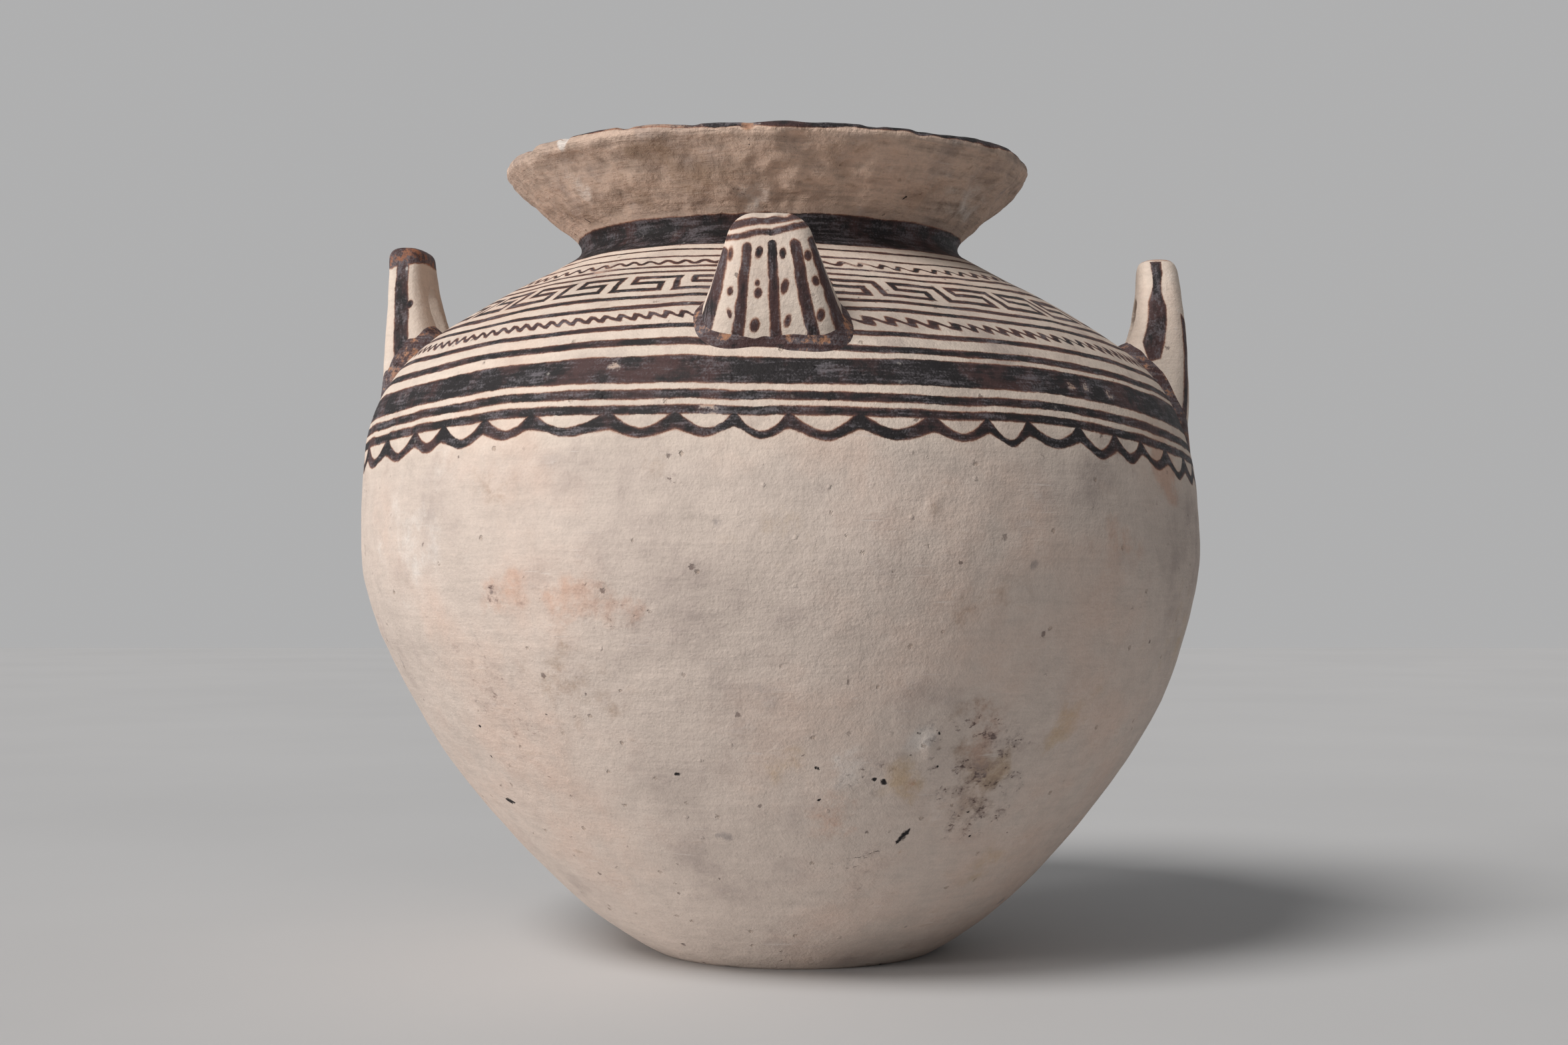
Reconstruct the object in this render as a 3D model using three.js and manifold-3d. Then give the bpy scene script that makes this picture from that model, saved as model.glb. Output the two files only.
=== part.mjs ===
// A hand-built funnel krater with two stirrup handles and two solid tabs on its shoulder.
// Millimetres, +Z up. The base stands on Z = 0, the belly's centre is on the Z axis and the
// front tab faces -Y. The potter raised the wall in rings on a base disc, each ring pressed on
// a slanted edge of the one below, and luted handles and tabs on with thin coils of clay.
import * as THREE from "three";
import { mergeVertices } from "three/addons/utils/BufferGeometryUtils.js";
import Module from "manifold-3d";

// Outline of the pot, outside.
const HEIGHT = 355.5;
const BASE_DIAMETER = 128;
const BELLY_DIAMETER = 380;
const BELLY_HEIGHT = 184;
const NECK_DIAMETER = 164;
const MOUTH_DIAMETER = 239;
const FUNNEL_DEPTH = 39;
// How far each curve keeps to the direction that it sets out in.
const FOOT_SPRING = 68;
const FOOT_SLOPE_DEG = 26;
const SWELL_BELOW_BELLY = 56;
const SWELL_ABOVE_BELLY = 80;
const SHOULDER_LENGTH = 90;
const SHOULDER_SLOPE_DEG = 30;
const NECK_SOFTNESS = 11;
// The pot leans a little towards -X while its base and its mouth stay level.
const LEAN_DEG = 2;

// Clay thickness and the slanted joints between the rings of wall.
const WALL = 9;
const FLOOR = 11;
const SCARF = 5;
const JOINT_GAP = 0.4;
const FLOOR_JOINT_HEIGHT = 5;
const LOWER_JOINT_BELOW_BELLY = 54;
const SHOULDER_JOINT_ABOVE_BELLY = 42;
const COLLAR_JOINT_BELOW_NECK = 14;
const COLLAR_JOINT_ABOVE_NECK = 10;
const LIP_DEPTH = 16;

// Handles and tabs: each stands on the shoulder, set in from the belly's radius. The outer face
// flares at the root and bulges between root and top.
const LEFT_HANDLE_INSET = 23;
const LEFT_HANDLE_RISE = 56.5;
const LEFT_HANDLE_FLARE = 5;
const LEFT_HANDLE_BULGE = 0.5;
const RIGHT_HANDLE_INSET = 15.5;
const RIGHT_HANDLE_RISE = 56;
const RIGHT_HANDLE_FLARE = 2;
const RIGHT_HANDLE_BULGE = 3.5;
const TAB_INSET = 27;
const TAB_RISE = 42;
const TAB_FLARE = 0.2;
const TAB_BULGE = 4;
const TOP_THICKNESS = 17.5;
const INNER_FLARE = 8;
const HANDLE_CROWN = 4;
const TAB_CROWN = 7.5;
const HANDLE_TOP_WIDTH = 34;
const HANDLE_ROOT_WIDTH = 60;
const TAB_TOP_WIDTH = 27.5;
const TAB_ROOT_WIDTH = 57;
// The pair of handles is set a little off the cross that it makes with the tabs.
const HANDLE_TURN_DEG = -4.5;
const OPENING_WIDTH = 26;
const OPENING_BAR = 18;

// Luting coils round the roots of handles and tabs.
const COIL_RADIUS = 3.6;
const SEAT_GAP = 0.3;

// Fineness of the facets.
const TURN_FACETS = 48;
const SECTION_FACETS = 24;
const COIL_STEPS = 28;
const COIL_SIDES = 8;
const WALL_SPACING = 18;
const COLLAR_SPACING = 6;
const CROWN_STEPS = 4;
const SIDE_STEPS = 5;
const LIP_STEPS = 6;
const OPENING_FACETS = 10;

// Colours of the fired clay and its coats.
const BARE_CLAY = 0xb9a189;
const CREAM_SLIP = 0xdccbae;
const DARK_PAINT = 0x33261f;
const WORN_PAINT = 0x6b4630;
const MATT = 0.85;

// Squareness of a lug's section, where 2 is an oval, how far its root is sunk before it is trimmed,
// and the roundest crown, as a share of the thickness.
const SECTION_SQUARENESS = 3.6;
const SUNK_ROOT = 1.15;
const ROUNDEST_CROWN = 0.45;

const wasm = await Module();
wasm.setup();

const neckHeight = HEIGHT - FUNNEL_DEPTH;
const bellyRadius = BELLY_DIAMETER / 2;
const lipRadius = WALL / 2;

// A step of the given length at an angle above the level, in the plane of the outline.
function stepAt(length, angle) {
  return new THREE.Vector2(Math.cos(angle), Math.sin(angle)).multiplyScalar(length);
}

// The outer outline from the base's edge up to where the lip begins to round over.
const foot = new THREE.Vector2(BASE_DIAMETER / 2, 0);
const belly = new THREE.Vector2(bellyRadius, BELLY_HEIGHT);
const neck = new THREE.Vector2(NECK_DIAMETER / 2, neckHeight);
const lipCentre = new THREE.Vector2(MOUTH_DIAMETER / 2 - lipRadius, HEIGHT - lipRadius);
const toLip = lipCentre.clone().sub(neck);
const funnelAngle = toLip.angle() - Math.asin(lipRadius / toLip.length());
const funnelLength = Math.sqrt(toLip.lengthSq() - lipRadius ** 2);
const shoulderAngle = THREE.MathUtils.degToRad(-SHOULDER_SLOPE_DEG);
const neckStart = neck.clone().add(stepAt(NECK_SOFTNESS, shoulderAngle));
const neckEnd = neck.clone().add(stepAt(NECK_SOFTNESS, funnelAngle));
const outline = new THREE.CurvePath();
outline.add(
  new THREE.CubicBezierCurve(
    foot,
    foot.clone().add(stepAt(FOOT_SPRING, THREE.MathUtils.degToRad(FOOT_SLOPE_DEG))),
    belly.clone().add(new THREE.Vector2(0, -SWELL_BELOW_BELLY)),
    belly,
  ),
);
outline.add(
  new THREE.CubicBezierCurve(
    belly,
    belly.clone().add(new THREE.Vector2(0, SWELL_ABOVE_BELLY)),
    neckStart.clone().add(stepAt(SHOULDER_LENGTH, shoulderAngle)),
    neckStart,
  ),
);
outline.add(new THREE.QuadraticBezierCurve(neckStart, neck, neckEnd));
outline.add(new THREE.LineCurve(neckEnd, neck.clone().add(stepAt(funnelLength, funnelAngle))));
const outlineLength = outline.getLength();

// A point of the wall: a distance along the outline, and a depth in from the outside.
function wallPoint(distance, depth) {
  const reach = 0.2;
  const here = THREE.MathUtils.clamp(distance, reach, outlineLength - reach);
  const ahead = outline.getPoint((here + reach) / outlineLength);
  const behind = outline.getPoint((here - reach) / outlineLength);
  const along = ahead.clone().sub(behind).normalize();
  const point = outline.getPoint(THREE.MathUtils.clamp(distance / outlineLength, 0, 1));
  return point.sub(new THREE.Vector2(along.y, -along.x).multiplyScalar(depth));
}

// The value between low and high at which a test turns from true to false.
function turningPoint(low, high, isBelow) {
  const rounds = 40;
  for (let i = 0; i < rounds; i += 1) {
    const middle = (low + high) / 2;
    if (isBelow(middle)) low = middle;
    else high = middle;
  }
  return (low + high) / 2;
}

// The distance along the outline at which a face of the wall reaches a height.
function distanceAtHeight(height, depth = 0) {
  return turningPoint(0, outlineLength, (distance) => wallPoint(distance, depth).y < height);
}

const bellyDistance = distanceAtHeight(BELLY_HEIGHT);
const neckDistance = distanceAtHeight(neckHeight);

// The height of the shoulder's outside at a distance from the axis.
function shoulderHeight(radius) {
  const isOutside = (distance) => wallPoint(distance, 0).x > radius;
  return wallPoint(turningPoint(bellyDistance, neckDistance, isOutside), 0).y;
}

// Turns a section into a solid of revolution about Z.
function revolve(section) {
  const geometry = new THREE.LatheGeometry(section, TURN_FACETS);
  return geometry.rotateX(Math.PI / 2);
}

// Points along a face of the wall, about one step apart.
function wallFace(from, to, depth, step) {
  const steps = Math.max(1, Math.round(Math.abs(to - from) / step));
  const points = [];
  for (let i = 0; i <= steps; i += 1) {
    points.push(wallPoint(THREE.MathUtils.lerp(from, to, i / steps), depth));
  }
  return points;
}

// The outer face of a ring of wall, half a joint's gap clear of its neighbours.
function ringFace(ring, depth) {
  return wallFace(ring.from + JOINT_GAP / 2, ring.to - JOINT_GAP / 2, depth, ring.step);
}

// One ring of wall between two joints, with slanted edges that rise inwards.
function wallRing(ring) {
  const section = ringFace(ring, 0);
  const high = ring.to - JOINT_GAP / 2 + SCARF;
  const low = ring.from + JOINT_GAP / 2 + SCARF;
  section.push(...wallFace(high, low, WALL, ring.step), section[0].clone());
  return revolve(section);
}

// The base disc: a flat floor whose edge turns up to take the first ring.
function baseDisc(to) {
  const high = to - JOINT_GAP / 2;
  const floorEdge = distanceAtHeight(FLOOR, WALL);
  const section = [new THREE.Vector2(0, 0)];
  section.push(...wallFace(0, high, 0, COLLAR_SPACING));
  section.push(...wallFace(high + SCARF, floorEdge, WALL, COLLAR_SPACING));
  section.push(new THREE.Vector2(0, FLOOR));
  return revolve(section);
}

// The lip: a coil that tops the funnel and rounds over from the outside to the inside.
function lipCoil(from) {
  const low = from + JOINT_GAP / 2;
  const section = wallFace(low, outlineLength, 0, WALL_SPACING);
  for (let i = 1; i <= LIP_STEPS; i += 1) {
    const angle = funnelAngle - Math.PI / 2 + (Math.PI * i) / LIP_STEPS;
    section.push(lipCentre.clone().add(stepAt(lipRadius, angle)));
  }
  section.push(wallPoint(low + SCARF, WALL));
  section.push(section[0].clone());
  return revolve(section);
}

// The rings of wall as one solid without its hollow, grown outwards by the gap of a seat:
// it trims what is luted on their outside.
function potSolid(rings) {
  const faces = rings.flatMap((ring) => ringFace(ring, -SEAT_GAP));
  const bottom = new THREE.Vector2(0, faces[0].y);
  const top = new THREE.Vector2(0, faces[faces.length - 1].y);
  return revolve([bottom, ...faces, top]);
}

// Welds a closed geometry into a solid that can be joined and cut.
function toManifold(geometry) {
  const weld = 1e-4;
  const bare = new THREE.BufferGeometry();
  bare.setAttribute("position", geometry.getAttribute("position"));
  bare.setIndex(geometry.index);
  const merged = mergeVertices(bare, weld);
  const vertProperties = merged.getAttribute("position").array;
  const triVerts = new Uint32Array(merged.index.array);
  return new wasm.Manifold(new wasm.Mesh({ numProp: 3, vertProperties, triVerts }));
}

function toGeometry(solid) {
  const mesh = solid.getMesh();
  const geometry = new THREE.BufferGeometry();
  geometry.setAttribute("position", new THREE.BufferAttribute(mesh.vertProperties, 3));
  geometry.setIndex(new THREE.BufferAttribute(mesh.triVerts, 1));
  return geometry;
}

// Skins a stack of closed rings of points, listed from the top down, and caps both ends.
function loft(rings) {
  const count = rings[0].length;
  const positions = rings.flat().flatMap((point) => point.toArray());
  const faces = [];
  for (let ring = 0; ring + 1 < rings.length; ring += 1) {
    for (let i = 0; i < count; i += 1) {
      const next = (i + 1) % count;
      const [a, b] = [ring * count + i, ring * count + next];
      faces.push(a, a + count, b, b, a + count, b + count);
    }
  }
  const last = (rings.length - 1) * count;
  for (let i = 1; i + 1 < count; i += 1) {
    faces.push(0, i, i + 1, last, last + i + 1, last + i);
  }
  const geometry = new THREE.BufferGeometry();
  geometry.setAttribute("position", new THREE.Float32BufferAttribute(positions, 3));
  geometry.setIndex(faces);
  return geometry;
}

// A handle or tab is drawn with X away from the pot's axis, Y along the shoulder and Z up.
// Share 0 is its top and share 1 its root, where every section lies along the shoulder.
function lugSection(lug, share, grow) {
  const down = Math.min(share, 1);
  const inner = lug.radius - TOP_THICKNESS / 2 - INNER_FLARE * down ** 2 - grow;
  const bulge = lug.bulge * Math.sin(Math.PI * down);
  const outer = lug.radius + TOP_THICKNESS / 2 + lug.flare * down ** 2 + bulge + grow;
  const halfWidth = THREE.MathUtils.lerp(lug.topWidth, lug.rootWidth, down) / 2 + grow;
  return { centre: (inner + outer) / 2, halfDepth: (outer - inner) / 2, halfWidth };
}

function lugTop(lug) {
  return shoulderHeight(lug.radius) + lug.rise;
}

function lugRing(lug, share, inset, grow) {
  const section = lugSection(lug, share, grow - inset);
  const top = lugTop(lug) + grow;
  const ring = [];
  for (let i = 0; i < SECTION_FACETS; i += 1) {
    const turn = (2 * Math.PI * i) / SECTION_FACETS;
    const soften = (value) => Math.sign(value) * Math.abs(value) ** (2 / SECTION_SQUARENESS);
    const x = section.centre + section.halfDepth * soften(Math.cos(turn));
    const y = section.halfWidth * soften(Math.sin(turn));
    const ground = shoulderHeight(Math.hypot(x, y));
    ring.push(new THREE.Vector3(x, y, THREE.MathUtils.lerp(top, ground, share)));
  }
  return ring;
}

function lugBody(lug, grow) {
  const rings = [];
  const crown = Math.min(lug.crown, ROUNDEST_CROWN * TOP_THICKNESS);
  const crownShare = crown / lug.rise;
  for (let i = 0; i < CROWN_STEPS; i += 1) {
    const turn = ((Math.PI / 2) * i) / CROWN_STEPS;
    const share = crownShare * (1 - Math.cos(turn));
    rings.push(lugRing(lug, share, crown * (1 - Math.sin(turn)), grow));
  }
  for (let i = 0; i <= SIDE_STEPS; i += 1) {
    rings.push(lugRing(lug, THREE.MathUtils.lerp(crownShare, SUNK_ROOT, i / SIDE_STEPS), 0, grow));
  }
  return toManifold(loft(rings));
}

// The finger opening of a handle: an arch that runs right through and down to the shoulder.
function openingSolid(lug, shrink) {
  const halfWidth = OPENING_WIDTH / 2 - shrink;
  const top = lugTop(lug) - OPENING_BAR - shrink;
  const arch = new THREE.Shape();
  arch.moveTo(-halfWidth, BELLY_HEIGHT);
  arch.lineTo(halfWidth, BELLY_HEIGHT);
  arch.lineTo(halfWidth, top - halfWidth);
  arch.absarc(0, top - halfWidth, halfWidth, 0, Math.PI);
  const section = lugSection(lug, 1, 0);
  const reach = 2 * section.halfDepth;
  const settings = { depth: 2 * reach, bevelEnabled: false, curveSegments: OPENING_FACETS };
  const geometry = new THREE.ExtrudeGeometry(arch, settings);
  geometry.rotateX(Math.PI / 2).rotateZ(Math.PI / 2);
  geometry.translate(section.centre - reach, 0, 0);
  return toManifold(geometry);
}

function lugSolid(lug, grow) {
  const body = lugBody(lug, grow);
  return lug.open ? body.subtract(openingSolid(lug, grow)) : body;
}

// A luting coil round one root: a tube along the line where root and shoulder meet, which
// closes on itself and so has no ends. Side 0 goes round a whole tab, -1 and 1 round one leg.
function coilSolid(lug, side) {
  const section = lugSection(lug, 1, 0);
  const edge = (OPENING_WIDTH / 2) * Math.abs(side);
  const middle = (side * (edge + section.halfWidth)) / 2;
  const isInRoot = (x, y) => {
    const across = Math.abs((x - section.centre) / section.halfDepth) ** SECTION_SQUARENESS;
    const along = Math.abs(y / section.halfWidth) ** SECTION_SQUARENESS;
    return across + along < 1 && (side === 0 || side * y > edge);
  };
  const points = [];
  for (let i = 0; i < COIL_STEPS; i += 1) {
    const turn = (2 * Math.PI * i) / COIL_STEPS;
    const [dx, dy] = [Math.cos(turn), Math.sin(turn)];
    const isInside = (reach) => isInRoot(section.centre + reach * dx, middle + reach * dy);
    const reach = turningPoint(0, 2 * section.halfWidth, isInside);
    const [x, y] = [section.centre + reach * dx, middle + reach * dy];
    points.push(new THREE.Vector3(x, y, shoulderHeight(Math.hypot(x, y))));
  }
  const path = new THREE.CatmullRomCurve3(points, true);
  return toManifold(new THREE.TubeGeometry(path, COIL_STEPS, COIL_RADIUS, COIL_SIDES, true));
}

// Joints between the rings, as distances along the outline from the base's edge.
const floorJoint = distanceAtHeight(FLOOR_JOINT_HEIGHT);
const lowerJoint = distanceAtHeight(BELLY_HEIGHT - LOWER_JOINT_BELOW_BELLY);
const shoulderJoint = distanceAtHeight(BELLY_HEIGHT + SHOULDER_JOINT_ABOVE_BELLY);
const collarFoot = distanceAtHeight(neckHeight - COLLAR_JOINT_BELOW_NECK);
const collarTop = distanceAtHeight(neckHeight + COLLAR_JOINT_ABOVE_NECK);
const lipJoint = distanceAtHeight(HEIGHT - LIP_DEPTH);

const rings = [
  { name: "lower_wall", from: floorJoint, to: lowerJoint, step: WALL_SPACING, color: BARE_CLAY },
  { name: "belly_wall", from: lowerJoint, to: shoulderJoint, step: WALL_SPACING, color: BARE_CLAY },
  { name: "shoulder_wall", from: shoulderJoint, to: collarFoot, step: WALL_SPACING, color: CREAM_SLIP },
  { name: "neck_collar", from: collarFoot, to: collarTop, step: COLLAR_SPACING, color: DARK_PAINT },
  { name: "funnel_mouth", from: collarTop, to: lipJoint, step: WALL_SPACING, color: CREAM_SLIP },
];

const handle = { topWidth: HANDLE_TOP_WIDTH, rootWidth: HANDLE_ROOT_WIDTH, crown: HANDLE_CROWN, open: true };
const tab = {
  radius: bellyRadius - TAB_INSET,
  rise: TAB_RISE,
  flare: TAB_FLARE,
  bulge: TAB_BULGE,
  topWidth: TAB_TOP_WIDTH,
  rootWidth: TAB_ROOT_WIDTH,
  crown: TAB_CROWN,
  open: false,
};
const handleTurn = THREE.MathUtils.degToRad(HANDLE_TURN_DEG);
const lugs = [
  {
    name: "left_handle",
    turn: Math.PI + handleTurn,
    radius: bellyRadius - LEFT_HANDLE_INSET,
    rise: LEFT_HANDLE_RISE,
    flare: LEFT_HANDLE_FLARE,
    bulge: LEFT_HANDLE_BULGE,
    coils: { left_handle_rear_coil: -1, left_handle_front_coil: 1 },
    ...handle,
  },
  {
    name: "right_handle",
    turn: handleTurn,
    radius: bellyRadius - RIGHT_HANDLE_INSET,
    rise: RIGHT_HANDLE_RISE,
    flare: RIGHT_HANDLE_FLARE,
    bulge: RIGHT_HANDLE_BULGE,
    coils: { right_handle_front_coil: -1, right_handle_rear_coil: 1 },
    ...handle,
  },
  { name: "front_tab", turn: -Math.PI / 2, coils: { front_tab_coil: 0 }, ...tab },
  { name: "rear_tab", turn: Math.PI / 2, coils: { rear_tab_coil: 0 }, ...tab },
];

// The lean is a shear, so every level circle of the pot stays level.
const krater = new THREE.Group();
krater.name = "krater";
const lean = Math.tan(THREE.MathUtils.degToRad(LEAN_DEG));
const leaning = new THREE.Matrix4().makeTranslation(lean * BELLY_HEIGHT, 0, 0);
leaning.multiply(new THREE.Matrix4().makeShear(0, 0, 0, 0, -lean, 0));

function addNode(name, geometry, color) {
  const material = new THREE.MeshStandardMaterial({ color, roughness: MATT, metalness: 0 });
  const mesh = new THREE.Mesh(geometry.applyMatrix4(leaning), material);
  mesh.name = name;
  krater.add(mesh);
}

addNode("base_disc", baseDisc(floorJoint), BARE_CLAY);
for (const ring of rings) {
  addNode(ring.name, wallRing(ring), ring.color);
}
addNode("lip_coil", lipCoil(lipJoint), DARK_PAINT);

const trim = toManifold(potSolid(rings));
for (const lug of lugs) {
  const turned = (solid) => toGeometry(solid).rotateZ(lug.turn);
  const standing = new THREE.Matrix4().makeRotationZ(-lug.turn);
  const trimHere = toManifold(toGeometry(trim).applyMatrix4(standing));
  addNode(lug.name, turned(lugSolid(lug, 0).subtract(trimHere)), CREAM_SLIP);
  const keepClear = lugSolid(lug, SEAT_GAP).add(trimHere);
  for (const [name, side] of Object.entries(lug.coils)) {
    addNode(name, turned(coilSolid(lug, side).subtract(keepClear)), WORN_PAINT);
  }
}

export default krater;
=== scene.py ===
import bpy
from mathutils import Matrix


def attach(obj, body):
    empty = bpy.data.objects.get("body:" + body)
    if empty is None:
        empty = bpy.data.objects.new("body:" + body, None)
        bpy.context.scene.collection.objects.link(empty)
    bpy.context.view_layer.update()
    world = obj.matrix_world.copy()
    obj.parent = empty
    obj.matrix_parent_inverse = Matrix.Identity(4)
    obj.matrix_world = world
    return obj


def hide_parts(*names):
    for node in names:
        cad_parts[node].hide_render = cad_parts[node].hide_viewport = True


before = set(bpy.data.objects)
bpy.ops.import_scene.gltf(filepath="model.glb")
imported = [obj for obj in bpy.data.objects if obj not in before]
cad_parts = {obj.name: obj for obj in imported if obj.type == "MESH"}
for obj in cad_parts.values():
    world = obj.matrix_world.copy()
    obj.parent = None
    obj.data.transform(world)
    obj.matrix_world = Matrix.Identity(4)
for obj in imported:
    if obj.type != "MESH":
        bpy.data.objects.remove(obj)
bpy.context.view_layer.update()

import functools
import math

import bpy
import numpy as np
from bpy.props import FloatProperty, FloatVectorProperty, PointerProperty
from mathutils import Vector, noise

bl_info = {
    "name": "Hand-built funnel krater",
    "version": (1, 0, 0),
    "blender": (4, 5, 0),
    "location": "View3D > Sidebar > Krater",
    "description": "Builds the fired and painted clay of a funnel krater around its CAD solids",
    "category": "Object",
}

MM = 0.001

# Fineness of the meshes. The columns divide into the strips of the wall's own map.
COLUMNS = 540
MAP_STRIPS = 3
WALL_ROW = 2.4 * MM
COLLAR_ROW = 1.4 * MM
LIP_ROW = 1.0 * MM
INNER_ROW = 9 * MM
INNER_LIP_ROW = 2 * MM
LIP_ARC_ROWS = 16
LUG_FACETS = 96
LUG_RINGS = 44
CROWN_RINGS = 8
CLAY_VOXEL = 1.1 * MM
ARCH_POINTS = 25
COIL_STEPS = 120
COIL_ROWS = 12
HALVINGS = 40
# Circles of the grid under the base, in 64ths of its radius, and on the floor inside, as shares.
BASE_CIRCLES = (2, 16, 30, 42, 51, 57, 61)
FLOOR_CIRCLES = (0.92, 0.8, 0.6, 0.4, 0.2, 0.04)
BASE_MARK = 3 * MM
# Rings of wall from the base up: material slot, the level and the mm above it of the joint
# below, and the height of a row of the grid.
RINGS = {
    "base_disc": ("bare_clay", "base", 0, WALL_ROW),
    "lower_wall": ("bare_clay", "base", 5, WALL_ROW),
    "belly_wall": ("bare_clay", "belly", -54, WALL_ROW),
    "shoulder_wall": ("cream_slip", "belly", 42, WALL_ROW),
    "neck_collar": ("dark_paint", "neck", -14, COLLAR_ROW),
    "funnel_mouth": ("cream_slip", "neck", 10, COLLAR_ROW),
    "lip_coil": ("dark_paint", "lip", -16, LIP_ROW),
}
# Rings that are painted inside too, and how far past the outline's end the inside begins, in mm.
PAINTED_INSIDE, INNER_EDGE = ("neck_collar", "funnel_mouth", "lip_coil"), 20
# How far the dented clay stays inside the solids, at the belly and at the lip.
SIDE_MARGIN, TOP_MARGIN = 0.1 * MM, 0.15 * MM
# The wall's map for a bake: margin round a strip, top of the strips of a ring and of the lip,
# place and height of the inner face above them, place, step and height of the joints.
MAP_MARGIN, MAP_TOP, MAP_TOP_LIP = 0.006, 0.84, 0.97
MAP_INNER, MAP_INNER_HEIGHT = 0.01, 0.11
MAP_JOINT, MAP_JOINT_STEP, MAP_JOINT_HEIGHT = 0.975, 0.012, 0.008

# Angles are measured from the front, in degrees, and grow towards the right handle. Distances
# up the wall are measured along its outline from the edge of the base, in mm.
# How far the painter's lines stray from their level, in mm: one row for each distance up the
# wall, one column for each angle.
SWAY_ANGLES = (-100, -60, -35, -12, 12, 35, 60, 80, 120, 180)
SWAY_ROWS = {
    283: (-9, -5, 0.6, 0.2, -1, -1.7, -9.5, -14, -11, -4),
    315: (-9, -6, -0.8, 2, -2, -3.6, -11.5, -14.5, -11, -4),
    335: (-10, -7.3, -2, 2, -1.5, -5.8, -10.5, -12, -9, -3),
    352: (-4, -2.3, 2.2, 3.5, -3, -5, -8, -9, -6, -1),
    372: (-2, -0.8, 2.5, 1, -1, -3.3, -2, -2, -1.5, 0),
    392: (0, 1, 2.8, 0.2, -0.3, -2.2, 0, 0, 0, 0),
    411: (0,) * 10,
}
# Degrees over which the angles blend, where the lines stop straying, and the distance that
# stands for no paint at all.
SWAY_BLEND, SWAY_END, UNPAINTED = 7, 412, -50

# Painted lines: distance up the wall of the middle and half the width, in mm.
LINES = (
    (395.0, 0.9), (386.3, 0.85), (374.2, 0.95), (368.4, 0.95), (343.5, 1.35), (335.7, 1.5),
    (318.8, 1.6), (309.3, 1.9), (285.9, 1.95), (409.5, 8.8),
)
# The wide band, at the left and at the right.
WIDE_BAND, WIDE_BAND_RIGHT = (296.4, 5.8), (298.4, 6.5)
LIP_LINE, LIP_END, LIP_RISE_LEFT = 464.0, 486.0, 2.6
# The right and the left side for the painter, by share of a turn: the fade in and the fade out.
RIGHT_SIDE, LEFT_SIDE = ((-0.01, 0.06), (0.46, 0.36)), ((-0.03, -0.12), (-0.46, -0.36))
# Where one ground passes into the next, in mm up the wall: beige to cream, cream to tan, and
# the start of the funnel's rough brushwork. Then the edges of the lightened band round the neck:
# partly worn paint with bloom, partly painted light on the neck that the funnel shades.
CREAM_EDGE, TAN_EDGE, FUNNEL_EDGE = (255, 282), (409, 416), (411, 424)
NECK_LOW_EDGE, NECK_HIGH_EDGE = (398, 402), (424, 420)
# Wavy lines: middle, height of the wave, half width, length of a wave in mm and slant.
LOW_WAVE, HIGH_WAVE = (327.3, 1.5, 1.3, 8.0, 0.7), (379.5, 1.4, 1.0, 8.0, 0.15)
# Waves of the lower line, counted from the left, by angle.
WAVE_ANGLES, WAVE_COUNTS = (-180, -60, 11.5, 28, 60, 180), (0, 48, 78.4, 83.4, 96, 144)
HIGH_WAVES, HIGH_WAVE_START = 86, 0.547
MEANDER_LOW, MEANDER_HIGH, MEANDER_STROKE = 350.0, 362.4, 1.45
MEANDER_UNITS, MEANDER_LENGTH, MEANDER_SHIFT = 31, 27.0, 0.545
# Strokes of one meander unit, as shares of its length and height: from, to, low, high.
MEANDER_STROKES = (
    (0.14, 0.14, 0.0, 1.0), (0.14, 0.88, 0.0, 0.0), (0.88, 0.88, 0.0, 0.55),
    (0.41, 0.88, 0.55, 0.55), (0.41, 0.41, 0.55, 1.0), (0.41, 1.2, 1.0, 1.0), (-0.2, 0.14, 1.0, 1.0),
)
# Where one hanging scallop ends and the next begins, in degrees. The rest are even.
SCALLOP_EDGES = (
    -71, -61.2, -52.2, -46, -38.2, -30.8, -20.2, -11.8, -4.8, 1.5, 9.8, 18.8, 26, 31.8, 39.8,
    46.5, 52.2, 60, 68.2, 76,
)
SCALLOP_LINE, SCALLOP_LINE_HALF = 279.6, 1.9
SCALLOP_DROP, SCALLOP_STROKE, SCALLOP_BEND, SCALLOP_LENGTH = 9.6, 1.9, 1.7, 24.0
SCALLOP_RISE, SCALLOP_JOINT, SCALLOP_PRESS = 0.66, 1.3, 2.4
# The even ones: width in degrees, how far width and depth stray, and how much deeper in mm a
# narrower one hangs for each degree.
EVEN_SCALLOP, SCALLOP_STRAY, SCALLOP_DEPTH_STRAY, SCALLOP_DEEPER = 7.7, 1.2, 1.3, 0.35
SCALLOP_CHANCE = 5

# Stripes of the tabs: place across the face, half width in mm and share down of the top.
TAB_STRIPES = (
    (-0.95, 2.1, 0.285), (-0.49, 2.1, 0.237), (0.04, 2.0, 0.214), (0.56, 2.4, 0.21), (0.95, 1.9, 0.197),
)
# Slanted bands of the tabs: share down from the top, slope, half width in mm.
TAB_BANDS = ((0.165, -0.055, 1.05), (0.078, -0.045, 1.5))
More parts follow.
